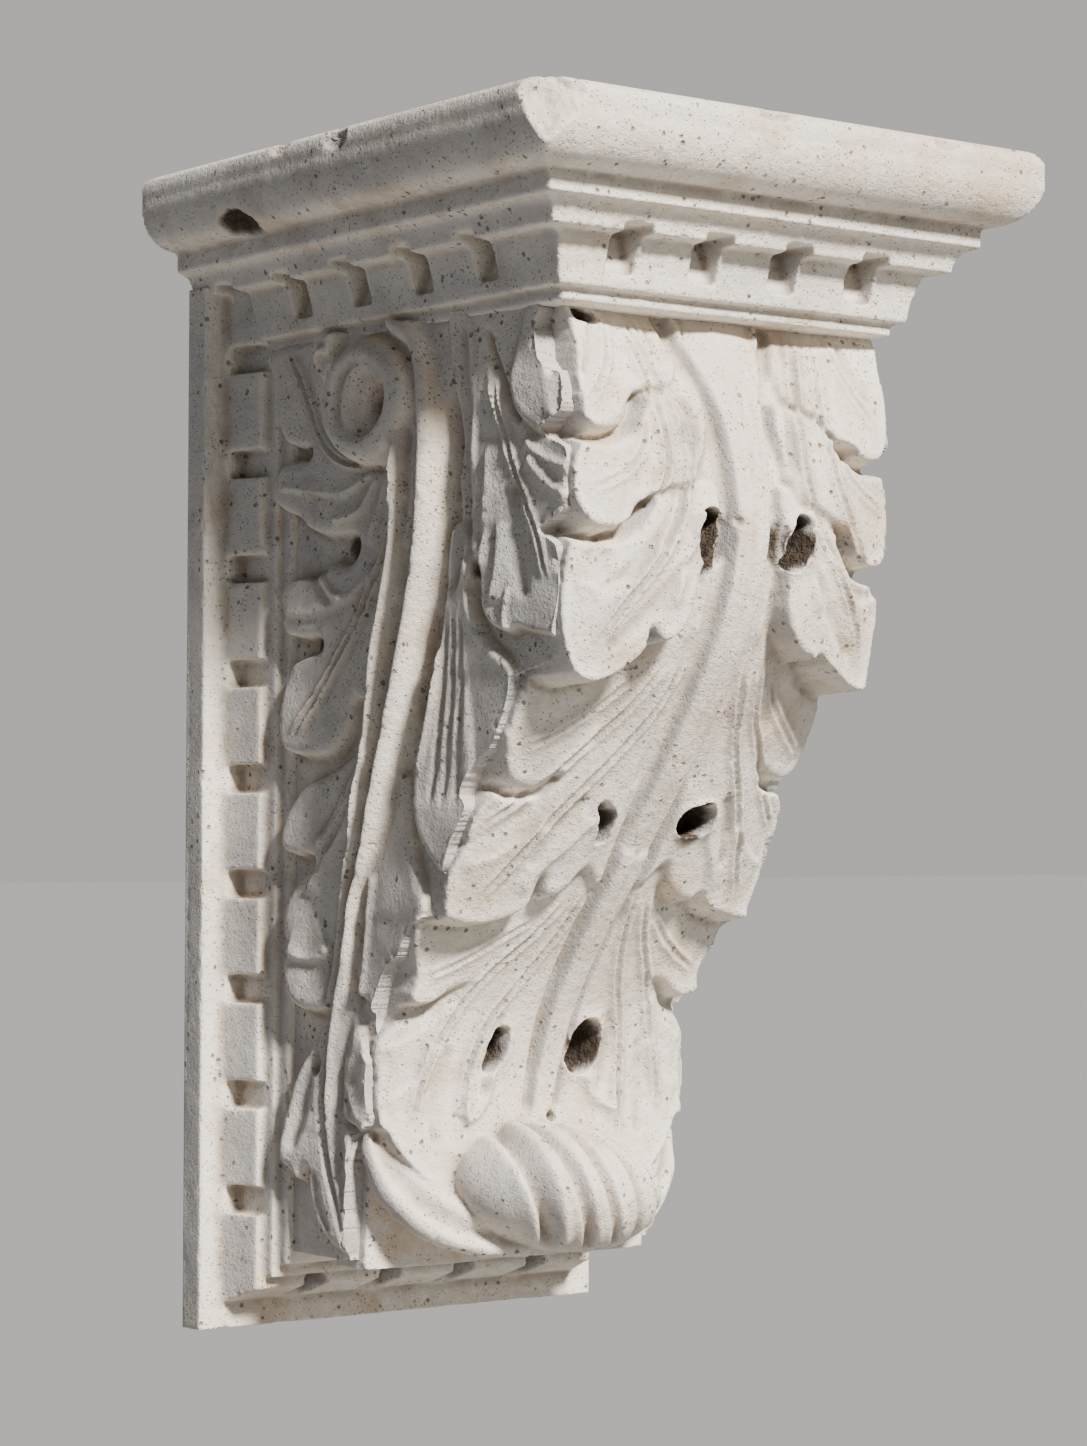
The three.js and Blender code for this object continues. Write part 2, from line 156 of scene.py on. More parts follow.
def front_depth(x, z):
    edge = smooth_through(PROFILE_Z, EDGE_DEPTH, z)
    middle = smooth_through(PROFILE_Z, MIDDLE_DEPTH, z)
    return edge + (middle - edge) * (1 - np.clip(np.abs(x) / BODY_HALF, 0, 1.1) ** 2)


def ease(t):
    t = np.clip(t, 0, 1)
    return t * t * (3 - 2 * t)


# Relief fields
OUTLINE_STEPS = 6
PATH_STEPS = 40
CREST_STEPS = 90
DRILL_STEPS = 16
STEP_WIDTH = 1.2


def spline(points, count, closed=False):
    """A smooth line of so many points through the ones given"""
    p = np.array(points, float)
    if closed:
        ends = np.vstack([p[-1], p, p[0], p[1]])
        spans = len(p)
    else:
        ends = np.vstack([2 * p[0] - p[1], p, 2 * p[-1] - p[-2]])
        spans = len(p) - 1
    x = np.linspace(0, spans, count)
    i = np.minimum(x.astype(int), spans - 1)
    t = (x - i)[:, None]
    a, b, c, d = ends[i], ends[i + 1], ends[i + 2], ends[i + 3]
    bend = (2 * a - 5 * b + 4 * c - d) * t * t
    return 0.5 * (2 * b + (c - a) * t + bend + (3 * b - a - 3 * c + d) * t ** 3)


def between(values, t):
    """Values spaced evenly along a path, eased from one to the next"""
    v = np.array(values, float)
    if len(v) == 1:
        return np.full(np.shape(t), v[0])
    x = np.clip(t, 0, 1) * (len(v) - 1)
    i = np.minimum(x.astype(int), len(v) - 2)
    k = ease(x - i)
    return v[i] * (1 - k) + v[i + 1] * k


class Field:
    """Height over a flat ground, on a grid of u across and v up"""

    def __init__(self, u0, u1, v0, v1, step):
        self.step = step
        self.us = np.arange(u0, u1 + step / 2, step)
        self.vs = np.arange(v0, v1 + step / 2, step)
        self.U, self.V = np.meshgrid(self.us, self.vs)
        self.H = np.zeros_like(self.U)
        self.cover = np.zeros(self.U.shape, bool)

    def window(self, low, high, pad):
        a = np.searchsorted(self.us, [low[0] - pad, high[0] + pad])
        b = np.searchsorted(self.vs, [low[1] - pad, high[1] + pad])
        return slice(b[0], b[1]), slice(a[0], a[1])

    def near(self, line, pad):
        """Distance to a line of points, place along it and signed offset, left positive"""
        best = np.full(self.U.shape, float(pad))
        along = np.zeros_like(self.U)
        offset = np.full(self.U.shape, float(pad))
        lengths = np.linalg.norm(np.diff(line, axis=0), axis=1)
        total = max(lengths.sum(), 1e-6)
        start = np.concatenate([[0], np.cumsum(lengths)]) / total
        for k in range(len(line) - 1):
            a, b = line[k], line[k + 1]
            win = self.window(np.minimum(a, b), np.maximum(a, b), pad)
            U = self.U[win] - a[0]
            V = self.V[win] - a[1]
            if U.size == 0:
                continue
            du, dv = b - a
            size = du * du + dv * dv + 1e-12
            t = np.clip((U * du + V * dv) / size, 0, 1)
            distance = np.hypot(U - t * du, V - t * dv)
            closer = distance < best[win]
            best[win] = np.where(closer, distance, best[win])
            side = np.where(du * V - dv * U >= 0, distance, -distance)
            offset[win] = np.where(closer, side, offset[win])
            along[win] = np.where(closer, start[k] + t * (start[k + 1] - start[k]), along[win])
        return best, along, offset

    def inside(self, line):
        """Whether each place lies inside a closed line"""
        mask = np.zeros(self.U.shape, bool)
        for a, b in zip(line[:-1], line[1:]):
            low, high = min(a[1], b[1]), max(a[1], b[1])
            rows = np.nonzero((self.vs > low) & (self.vs <= high))[0]
            if len(rows) == 0:
                continue
            cross = a[0] + (self.vs[rows] - a[1]) * (b[0] - a[0]) / (b[1] - a[1])
            mask[rows] ^= self.us[None, :] > cross[:, None]
        return mask


def soften(values, rounds):
    """Average each height with its neighbours"""
    for _ in range(rounds):
        wide = np.pad(values, 1, mode="edge")
        values = (wide[:-2, 1:-1] + 2 * wide[1:-1, 1:-1] + wide[2:, 1:-1]) / 4
        wide = np.pad(values, 1, mode="edge")
        values = (wide[1:-1, :-2] + 2 * wide[1:-1, 1:-1] + wide[1:-1, 2:]) / 4
    return values


def crisp(values, gain):
    """Deepen the fine relief without moving the broad shape"""
    broad = soften(values, 40)
    return broad + (values - broad) * gain


def hills(field, peaks):
    """A smooth surface through heights named at a few places"""
    total = np.zeros_like(field.U)
    weight = np.zeros_like(field.U)
    for u, v, h in peaks:
        w = 1 / ((field.U - u) ** 2 + (field.V - v) ** 2 + 60.0) ** 1.5
        total += w * h
        weight += w
    return total / weight


def sheet(field, outline, peaks, edge=6.0, drop=5.0):
    """A leaf's sheet inside an outline, its rim rounded down"""
    line = spline(outline, len(outline) * OUTLINE_STEPS + 1, closed=True)
    distance = field.near(line, edge + 2)[0]
    inside = field.inside(line)
    x = np.clip(distance / edge, 0, 1)
    top = hills(field, peaks) - drop * (1 - np.sqrt(np.clip(1 - (1 - x) ** 2, 0, 1)))
    field.H = np.where(inside, np.maximum(field.H, top), field.H)
    field.cover |= inside


def across(field, path, left, right, count):
    """How far each place lies between a path and the fold's foot, and its place along the path"""
    line = spline(path, count)
    distance, t, offset = field.near(line, max(max(left), max(right)) + 1)
    width = np.where(offset >= 0, between(left, t), between(right, t))
    return np.clip(distance / np.maximum(width, 0.01), 0, 1), t


def fading(t, ends):
    """One along a path, and down to nothing at its two ends"""
    return ease(t / ends) * ease((1 - t) / ends)


def crest(field, path, left, right, lift, base):
    """A fold with a narrow top and long even slopes; it sinks the ground beyond them"""
    s, t = across(field, path, left, right, CREST_STEPS)
    narrow = 0.55
    least = 1 / (1 + (1 / narrow) ** 2)
    top = (1 / (1 + (s / narrow) ** 2) - least) / (1 - least)
    hold = ease(1.7 * (1 - s))
    field.H = np.where(s < 1, field.H * (1 - hold) + base * hold + between(lift, t) * top, field.H)


def roll(field, path, left, right, lift, power):
    """A round fold added along a path; left and right are its half widths"""
    s, t = across(field, path, left, right, PATH_STEPS)
    rise = between(lift, t) * (1 - s * s) ** power
    field.H += np.where(field.cover, rise, 0)


def fold(field, path, reach, lift):
    """A step along a path: high at its left, sinking away over the reach"""
    far = reach * 3
    distance, t, offset = field.near(spline(path, PATH_STEPS), far)
    fall = np.where(offset >= 0, np.exp(-distance / reach), np.exp(-distance / STEP_WIDTH))
    fade = np.clip((1 - distance / far) * 3, 0, 1)
    field.H += np.where(field.cover, lift * fall * fade * fading(t, 0.12), 0)


def ridge(field, path, width, lift):
    """A fine rib along a path"""
    distance, t, offset = field.near(spline(path, PATH_STEPS), width * 3)
    rise = lift * np.exp(-(distance / width) ** 2)
    field.H += np.where(field.cover, rise * fading(t, 0.1), 0)


def flute(field, path, width, deep, ends=0.12):
    """A hollow along a path; width is its half width"""
    distance, t, offset = field.near(spline(path, PATH_STEPS), max(width) + 1)
    s = np.clip(distance / np.maximum(between(width, t), 0.01), 0, 1)
    field.H -= np.where(field.cover, deep * (1 - ease(s)) * fading(t, ends), 0)


def drill(field, path, radius, deep):
    """A drilled slit or eye, cut straight down"""
    distance, t, offset = field.near(spline(path, DRILL_STEPS), max(radius) + 3)
    field.H -= deep * ease((between(radius, t) - distance + 1.0) / 2.0)


def double_rib(field, path, gap, lift, width=1.1):
    """Two fine ribs side by side"""
    line = spline(path, PATH_STEPS)
    tangent = np.gradient(line, axis=0)
    tangent /= np.linalg.norm(tangent, axis=1)[:, None] + 1e-9
    sideways = np.stack([-tangent[:, 1], tangent[:, 0]], 1)
    for side in (-1, 1):
        shifted = line + sideways * side * gap / 2
        ridge(field, shifted[::3], width, lift)
    flute(field, line[::3], [gap * 0.6], lift * 0.8)


# The flank
def flank_field(step):
    """Relief of the side: u is the depth from the wall, v the height"""
    f = Field(12, 310, -258, 214, step)

    # front leaf lobes that turn on to the side
    sheet(f, [(200, 110), (193, 60), (184, 30), (176, 5), (171, -15), (171, -28), (174, -40), (181, -51),
              (190, -59), (197, -59), (204, -50), (212, -40), (218, -26), (218, -5), (217, 20), (216, 50),
              (214, 100)],
          [(205, 90, 6), (190, 30, 7), (182, -30, 9), (195, -50, 8), (215, -20, 5), (212, 40, 6)],
          edge=6, drop=5)
    sheet(f, [(216, 92), (216, 76), (221, 61), (232, 50), (246, 40), (250, 20), (240, -2), (232, -22),
              (222, -32), (212, -30), (206, -10), (208, 40), (208, 90)],
          [(216, 80, 6), (232, 50, 5), (240, 10, 4), (222, -20, 3)],
          edge=3, drop=2.5)
    sheet(f, [(150, -10), (163, -14), (165, -40), (169, -55), (178, -72), (178, -82), (172, -91),
              (163, -92), (162, -97), (167, -105), (168, -114), (163, -121), (157, -128), (152, -138),
              (143, -141), (134, -136), (128, -125), (118, -120), (115, -100), (120, -60), (135, -20)],
          [(160, -20, 4), (160, -50, 5), (172, -78, 7), (150, -90, 6), (150, -125, 7), (135, -110, 5)],
          edge=5, drop=4)

    # the leaf's main sheet, with its lobes to the wall
    main_leaf = [(52, 214), (51, 190), (52, 172), (58, 162), (68, 158.5), (79, 157.5), (80.5, 154.5),
                 (77, 152), (66, 153), (56, 151.5), (49, 145), (47, 138), (50, 131), (59, 125.5),
                 (70, 122), (77, 116), (90, 112), (104, 110.8), (117, 110), (121, 104.5), (117, 98.5),
                 (108, 96.5), (97, 98.5), (90, 94), (82, 90.5), (72, 91.5), (62, 90), (57, 84),
                 (56.5, 78), (59, 74), (56.5, 69), (60, 62), (68, 60), (79, 59), (88, 58), (88, 54.5),
                 (82, 52.5), (74, 51), (66, 48), (61, 40), (58.5, 30), (57, 20), (57, 9), (61, 1.5),
                 (75, -1.5), (93, -1.5), (103, 2), (111, 9), (115.5, 17), (117, 24), (121, 27),
                 (126.5, 24), (128, 17), (126, 9), (119, 1.5), (108, -5), (95, -9.5), (85, -12),
                 (77, -15), (70, -21), (65, -29), (60.5, -39), (60, -46), (64, -51.5), (73, -53),
                 (81, -52.5), (83, -56), (79, -60), (72, -65), (66, -73), (63, -83), (63, -93),
                 (66, -100), (62.5, -106), (63, -117), (67, -126), (75, -131.5), (86, -132), (95, -130),
                 (92, -138), (81, -149), (72, -160), (66, -169), (62.5, -180), (60, -192), (57.5, -202),
                 (58.5, -210), (64, -215), (70, -219.5), (76, -214), (78, -216), (80, -228), (85, -239),
                 (93, -247), (104, -252.5), (118, -255), (121, -245), (121, -226), (124, -216),
                 (127, -208), (124, -201), (118, -193.5), (110, -186), (118, -189), (127, -194),
                 (131, -186), (135, -172), (137, -161), (130, -152), (122, -140), (120, -120), (126, -95),
                 (138, -60), (158, -10), (176, 40), (192, 80), (202, 110), (206, 150), (206, 180),
                 (202, 214)]
    sheet(f, main_leaf, [(60, 190, 10), (85, 200, 8), (60, 140, 10), (100, 125, 7), (78, 158, 8),
                         (150, 120, 7), (120, 112, 6), (62, 82, 10), (62, 66, 9), (100, 85, 6),
                         (90, 55, 7), (65, 20, 11), (90, 10, 8), (112, 20, 6), (130, 50, 6), (150, 20, 7),
                         (66, -40, 11), (100, -15, 8), (110, -40, 6), (84, -56, 7), (68, -85, 11),
                         (68, -115, 11), (95, -100, 7), (120, -70, 7), (110, -130, 6), (72, -165, 8),
                         (62, -205, 11), (72, -216, 8), (90, -235, 8), (115, -248, 6), (125, -205, 6),
                         (130, -165, 8), (110, -170, 4), (190, 190, 6), (204, 160, 1), (204, 110, 0),
                         (170, 80, 5), (190, 60, 0), (178, 25, 0), (160, -5, 0), (140, -45, 0),
                         (128, -80, 1), (118, -120, 2)],
          edge=7.5, drop=6)

    # the ground between the main sheet and the last leaf
    sheet(f, [(202, 214), (206, 170), (204, 120), (200, 90), (212, 92), (220, 96), (222, 120), (224, 160),
              (222, 190), (216, 214)],
          [(206, 150, 3), (221, 150, 8), (221, 190, 8), (208, 100, 3)],
          edge=1.5, drop=1)
    # the last leaf, beside the front
    sheet(f, [(214, 214), (220, 190), (221, 150), (219, 110), (220, 95), (226, 92), (227, 84), (228, 70),
              (233, 62), (240, 57.5), (247, 56), (252, 58.5), (262, 56.5), (274, 54), (286, 55),
              (292, 70), (291, 88), (287, 100), (296, 104), (298, 118), (290, 121), (298, 133),
              (297, 141), (288, 147), (294, 155), (294, 170), (290, 190), (284, 214)],
          [(224, 180, 7), (224, 120, 7), (240, 140, 5.5), (250, 100, 6), (235, 70, 7), (275, 62, 7),
           (262, 180, 5), (288, 180, 5), (285, 130, 4), (288, 80, 5), (270, 160, 5)],
          edge=4, drop=3)
    sheet(f, [(262, 214), (253, 195), (249, 178), (254, 163), (264, 153), (276, 148), (286, 147),
              (293, 154), (294, 168), (290, 190), (285, 214)],
          [(262, 190, 9), (262, 165, 10), (278, 155, 9), (285, 180, 7), (275, 200, 8)],
          edge=5, drop=4)

    # the volute's strap and the folds under it
    roll(f, [(100, 214), (112, 192), (118, 172), (126, 160), (140, 152), (154, 152), (163, 162)],
         [5], [9], [5, 7, 6, 4], power=0.7)
    double_rib(f, [(64, 210), (74, 196), (83, 180), (91, 165), (103, 153), (118, 147), (135, 145.5),
                   (148, 149), (157, 157)],
               3.4, 2.2)
    fold(f, [(104, 182), (103, 192), (104, 200), (110, 207)], 7, 5)
    sheet(f, [(96, 214), (98, 202), (103, 196), (110, 201), (113, 214)], [(104, 205, 15)], edge=4, drop=4)

    # the two stems that run down to the tip
    stem_a = [(163, 158), (165, 140), (163, 110), (159, 90), (153, 70), (147, 50), (143, 25), (139, 0),
              (134, -12), (127, -40), (118, -62), (109, -90), (101, -112), (92, -136), (85, -160)]
    crest(f, stem_a, [10, 10, 10, 9, 8, 7, 6, 5], [10, 11, 10, 9, 8, 7, 6, 5], [9, 9.5, 9.5, 9, 8, 6, 3.5,
                                                                                0.5], 4)
    stem_b = [(160, 214), (176, 206), (185, 192), (188, 176), (189, 150), (187, 120), (184, 98), (178, 75),
              (171, 52), (164, 30), (157, 10), (149, -12), (139, -40), (130, -60), (120, -82), (113, -102),
              (105, -124), (99, -150), (96, -172), (96, -190), (99, -210), (105, -228), (109, -240)]
    crest(f, stem_b, [12, 13, 12, 11, 9, 8, 7, 7, 6], [17, 18, 18, 16, 13, 11, 9, 8, 6],
          [9.5, 10, 10, 9.5, 9, 7, 5, 4, 2], 4)
    flute(f, [(172, 200), (178, 175), (179, 140), (175, 105), (168, 75), (159, 45), (151, 18), (144, -8),
              (134, -40), (124, -64), (115, -90), (108, -112)],
          [4, 5, 5, 4, 3, 2],
          1.0)
    ridge(f, [(168, 190), (172, 160), (172, 125), (167, 98)], 1.6, 2.0)
    flute(f, [(211, 216), (213, 180), (212, 140), (207, 100), (200, 70)], [8, 10, 9, 7], 3.5)
    ridge(f, [(137, -58), (129, -92), (123, -122), (122, -142)], 2.4, 2.0)
    flute(f, [(134, -56), (124, -92), (114, -130), (106, -165), (104, -200), (110, -232)], [6, 7, 6, 5], 2)
    flute(f, [(98, -120), (94, -150), (92.5, -180), (95, -208), (103, -234)], [2.5, 3, 3, 2], 2)

    # lobe ribs: fine double lines and steps
    fold(f, [(55, 138), (75, 136), (95, 133), (110, 131.5), (124, 134), (146, 141)], 9, 2.6)
    fold(f, [(100, 118), (115, 119), (128, 122), (138, 130), (147, 141)], 7, 3.0)
    fold(f, [(133, 103), (140, 115), (148, 128), (154, 142)], 6, 2.4)
    fold(f, [(58, 75), (75, 71.5), (92, 73), (110, 77), (128, 84), (142, 96)], 8, 2.2)
    double_rib(f, [(163, 160), (162, 135), (156, 115), (148, 100), (136, 84), (124, 68), (110, 51),
                   (96, 36), (82, 21), (68, 7)],
               4.0, 2.6, 1.3)
    ridge(f, [(84, 96), (92, 88), (100, 81), (112, 78)], 1.5, 1.8)
    fold(f, [(137, 12), (124, -8), (112, -24), (100, -37), (86, -49)], 8, 3.0)
    fold(f, [(130, -8), (122, -25), (110, -42), (96, -56), (80, -72)], 9, 3.0)
    ridge(f, [(126, -14), (116, -26), (104, -38), (92, -48)], 1.0, 1.6)
    fold(f, [(66, -100), (76, -104), (90, -105), (102, -98)], 9, 2.6)
    fold(f, [(112, -168), (117, -178), (124, -186)], 7, 2.5)
    fold(f, [(122, -142), (126, -152), (134, -157)], 6, 2.0)
    fold(f, [(110, -185), (118, -194), (126, -203)], 6, 2.5)
    fold(f, [(109, -150), (108, -165), (110, -180), (113, -215)], 6, 2.4)
    flute(f, [(66, -205), (76, -180), (84, -150)], [6, 9, 5], 2.5)
    flute(f, [(84, -212), (88, -230), (98, -244)], [3, 6, 3], 2)

    # ribs on the last leaves
    double_rib(f, [(234, 186), (240, 165), (247, 146), (256, 128), (264, 111), (271, 96), (276, 78)], 3.6,
               2.4, 1.3)
    fold(f, [(231, 150), (232, 130), (231, 112), (229, 98), (228, 84)], 8, 2.0)
    fold(f, [(240, 110), (241, 95), (239, 82), (236, 70)], 7, 2.4)
    fold(f, [(297, 133), (284, 135), (270, 141), (259, 150)], 6, 3.6)
    fold(f, [(295, 119), (283, 123), (271, 131), (262, 141)], 6, 3.4)
    fold(f, [(297, 104), (288, 105), (282, 109)], 6, 3)
    flute(f, [(277, 210), (281, 190), (284, 168), (286, 156)], [6, 9, 6], 4)
    flute(f, [(230, 205), (236, 188), (246, 168), (256, 155)], [3, 5, 3], 4)
    flute(f, [(250, 130), (255, 100), (260, 70)], [8, 12, 6], 2.5)
    ridge(f, [(247, 56), (246, 66), (250, 78)], 1.6, 1.6)
    ridge(f, [(195, 52), (189, 26), (182, 4), (176, -12)], 2.0, 2.0)
    for k in (0, 1, 2):
        flute(f, [(200 + k * 5, 70), (194 + k * 7, 20), (184 + k * 9, -30)], [3, 4, 3], 1.6)

    # the volute: a ring, its bowl and the throat
    centre = (139.5, 176.5)
    r = np.hypot(f.U - centre[0], f.V - centre[1])
    rim = 18.5
    ring = 17 * np.sqrt(np.clip(1 - ((r - 23) / np.where(r > 23, 11.5, 9.0)) ** 2, 0, 1))
    throat_r = np.hypot((f.U - 144.5) / 9.0, (f.V - 173.5) / 11.0)
    ring = ring * (1 - 0.16 * (f.U - centre[0]) / np.maximum(r, 8))
    bowl = 7 + 9 * np.clip(throat_r - 1, 0, 1) - 17 * ease((1.05 - throat_r) / 0.22)
    lip = ease((rim + 1.0 - r) / 3.0)
    inner = ring * (1 - lip) + bowl * lip
    f.H = np.where(r < rim + 4, inner, np.where(r < rim + 17, np.maximum(f.H, ring), f.H))
    flute(f, [(112, 158), (107, 172), (107, 186), (113, 198)], [3, 4, 4, 3], 4)

    # drilled eyes
    drill(f, [(70, 155), (77, 155)], [2.0, 3.0], 9)
    drill(f, [(108, 104), (115, 104.5)], [5.0, 5.5], 9)
    drill(f, [(78, 56), (85, 56.5)], [2.5, 2.8], 9)
    drill(f, [(121, 22), (123, 14), (117, 5)], [4.0, 4.0, 3.0], 8)
    drill(f, [(76, -54), (80, -56)], [2.5, 2.8], 8)
    drill(f, [(222, 92), (221, 82)], [3.2, 3.0], 9)
    return f


# The front
def leaf(field, outline, root, tip, lift, edge, drop, bow, power=1.3):
    """One lobe of a leaf: rising from its root to its tip, its rim rolled down"""
    line = spline(outline, len(outline) * OUTLINE_STEPS + 1, closed=True)
    distance = field.near(line, 20)[0]
    inside = field.inside(line)
    du, dv = tip[0] - root[0], tip[1] - root[1]
    t = ((field.U - root[0]) * du + (field.V - root[1]) * dv) / (du * du + dv * dv)
    rise = lift[0] + (lift[1] - lift[0]) * np.clip(t, 0, 1.15) ** power
    x = np.clip(distance / edge, 0, 1)
    top = rise - drop * (1 - np.sqrt(np.clip(1 - (1 - x) ** 2, 0, 1))) + bow * ease(distance / 18)
    field.H = np.where(inside, np.maximum(field.H, top), field.H)
    field.cover |= inside


def front_field(step, side):
    """Relief of one half of the front: u is the distance from the middle, v the height"""
    f = Field(0, 106, -262, 214, step)
    left = side < 0
    f.cover |= f.U < 92

    # third tier, the lowest leaf: it lies on the ground and rises to the curl
    leaf(f, [(-10, -60), (-10, -232), (25, -236), (50, -229), (62, -225), (76, -214), (87, -203),
             (94, -192), (99, -188), (100, -175), (100, -160), (102, -150), (99, -141), (88, -131),
             (74, -122), (70, -60)],
         (20, -130), (50, -228), (2, 24), edge=5, drop=4.5, bow=1.5, power=2.0)
    leaf(f, [(30, -60), (60, -66), (96, -80), (101, -86), (98, -98), (93, -112), (94, -122), (88, -126.5),
             (78, -125.5), (66, -118), (40, -110)],
         (40, -80), (92, -124), (-1, 13), edge=4.5, drop=4, bow=1.5)
    # second tier
    leaf(f, [(10, 60), (10, -60), (26, -58), (33, -67), (40, -72), (47, -70), (50, -62), (53, -76),
             (62, -82), (76, -85.5), (90, -84.5), (99, -80), (102, -66), (101, -52), (95, -42), (84, -36),
             (70, -24), (50, 10), (30, 60)] if left else
         [(10, 60), (10, -60), (24, -56), (30, -66), (40, -73), (50, -75), (56, -72), (66, -79),
          (80, -83), (97, -85.5), (99, -78), (101, -62), (98, -46), (95, -34), (90, -28), (84, -22),
          (72, -16), (50, 10), (30, 60)],
         (24, 0), (90, -84), (0, 23), edge=5, drop=5, bow=1.5)
    leaf(f, [(50, 10), (60, 40), (92, 40), (99, 12), (97, 2), (93, -8), (86, -16), (78, -18), (70, -16),
             (66, -24), (56, -10)] if left else
         [(44, 10), (60, 40), (90, 40), (96, 20), (95, 0), (92, -8), (84, -12), (74, -11), (68, -8),
          (56, -4)],
         (50, 20), (92, -12), (0, 11), edge=4.5, drop=4, bow=1.5)
    leaf(f, [(48, 0), (62, -6), (76, -14), (92, -20), (99, -30), (98, -44), (84, -46), (66, -30)],
         (55, -5), (98, -38), (2, 15), edge=5, drop=4, bow=1)
    # first tier
    leaf(f, [(20, 130), (44, 128), (66, 114), (84, 107), (97, 101), (101, 90), (103, 72), (102, 56),
             (97, 42), (90, 33.5), (80, 31), (70, 35), (60, 43), (55.5, 50), (54, 57), (51, 53), (47, 51),
             (40, 54), (34, 62), (31, 74), (28, 90), (20, 104)] if left else
         [(20, 130), (46, 124), (64, 108), (73, 97), (80, 90), (90, 84), (96, 72), (96, 56), (96, 42),
          (94, 33), (88, 31), (76, 35), (62, 42), (54, 47.5), (49, 45.5), (40, 49), (31, 57), (25, 68),
          (23, 82), (21, 104)],
         (28, 118), (90, 36), (4, 30), edge=5, drop=5, bow=1.5)
    leaf(f, [(20, 170), (50, 172), (66, 163), (80, 154.5), (94, 148), (101, 138), (102, 122), (98, 111),
             (91, 105), (82, 103.5), (73, 107.5), (65, 116), (48, 124), (30, 130)] if left else
         [(20, 170), (50, 166), (62, 153), (74, 147), (90, 144), (97, 135), (99, 120), (98, 106),
          (95, 96), (88, 92), (80, 92.5), (74, 97), (66, 108), (48, 118), (30, 126)],
         (30, 150), (98, 122), (5, 20), edge=5, drop=5, bow=1.5)
    leaf(f, [(24, 216), (91, 216), (93, 196), (97, 172), (96, 157), (90, 151), (80, 151.5), (71, 157),
             (64, 167), (52, 172), (34, 176)] if left else
         [(24, 216), (98, 216), (103, 190), (102, 168), (98, 154), (90, 146), (80, 146), (68, 151),
          (61, 156), (50, 166), (34, 176)],
         (36, 200), (92, 156), (2, 17), edge=5, drop=5, bow=1)

    # the centre stem and its channel
    stem = [(0, 216), (0, 160), (0, 100), (0, 0), (0, -100), (0, -190)]
    roll(f, stem, [30, 20, 14, 12, 10, 8], [30, 20, 14, 12, 10, 8], [7, 7, 6, 6, 5, 3], power=0.55)
    flute(f, [(33, 212), (24, 186), (17, 162), (14, 110), (13, 20), (11, -90), (9, -185)],
          [5, 5, 4, 4, 3], 3.5, ends=0.02)
    flute(f, [(22, 60), (20, 20), (18, -20)], [6, 8, 5], 2.0)
    ridge(f, [(4, 200), (4, 100), (3, -20), (2, -120)], 1.2, 0.9)

    # ribs that fan out of the stem
    double_rib(f, [(52, 212), (44, 185), (38, 160), (37, 135), (44, 112), (58, 88), (74, 66), (86, 44)],
               4.2, 2.8, 1.2)
    double_rib(f, [(60, 206), (54, 180), (50, 158), (50, 135), (58, 118), (76, 104), (94, 88)] if left else
               [(62, 206), (56, 180), (54, 158), (58, 135), (66, 116), (76, 98), (88, 70)], 4.0, 2.4, 1.2)
    double_rib(f, [(58, 160), (64, 142), (76, 130), (92, 122)], 3.6, 2.0, 1.1)
    double_rib(f, [(70, 206), (76, 186), (86, 170), (94, 162)], 3.6, 2.0, 1.1)
    fold(f, [(30, 118), (36, 100), (42, 86), (44, 66)], 7, 2.6)
    fold(f, [(98, 80), (82, 76), (66, 84), (52, 100)], 8, 2.4)
    flute(f, [(40, 128), (52, 104), (70, 84), (88, 72)], [4, 6, 4], 2.2)
    flute(f, [(40, 92), (52, 74), (66, 58), (78, 46)], [4, 7, 4], 2.4)
    flute(f, [(46, 206), (40, 180), (32, 158), (28, 130)], [4, 5, 4], 2.4)
    flute(f, [(78, 206), (84, 188), (92, 176)], [3, 6, 3], 2)
    double_rib(f, [(20, 44), (26, 22), (36, 2), (50, -18), (64, -40), (74, -58), (84, -74)], 4.2, 2.6, 1.2)
    double_rib(f, [(30, 44), (40, 22), (52, 6), (64, -8), (78, -24), (94, -38)], 4.0, 2.4, 1.2)
    double_rib(f, [(44, 36), (56, 22), (72, 10), (88, 0)], 3.6, 2.2, 1.1)
    fold(f, [(34, -32), (44, -46), (54, -58), (60, -72)], 7, 2.4)
    fold(f, [(96, -56), (84, -52), (72, -44), (60, -34)], 7, 2.2)
    flute(f, [(44, -20), (54, -38), (62, -58)], [4, 6, 4], 2.2)
    double_rib(f, [(16, -66), (22, -92), (32, -116), (44, -140), (50, -170), (50, -200)], 4.2, 2.4, 1.2)
    double_rib(f, [(24, -70), (36, -92), (50, -110), (62, -130), (74, -160), (80, -190)], 4.0, 2.4, 1.2)
    double_rib(f, [(38, -82), (54, -94), (70, -104), (86, -112)], 3.6, 2.0, 1.1)
    fold(f, [(98, -150), (86, -144), (74, -136), (64, -124)], 7, 2.2)
    fold(f, [(96, -176), (86, -170), (76, -160), (70, -146)], 7, 2.0)
    flute(f, [(60, -146), (66, -172), (66, -200)], [4, 8, 5], 2.2)
    flute(f, [(34, -130), (38, -150), (38, -176)], [3, 5, 4], 2.0)
    # a small notch where the inner lobe of the lowest leaf turns in
    fold(f, [(34, -160), (36, -176), (44, -186), (54, -184)] if left else
         [(26, -164), (30, -176), (40, -182), (50, -186)], 5, 3.5)

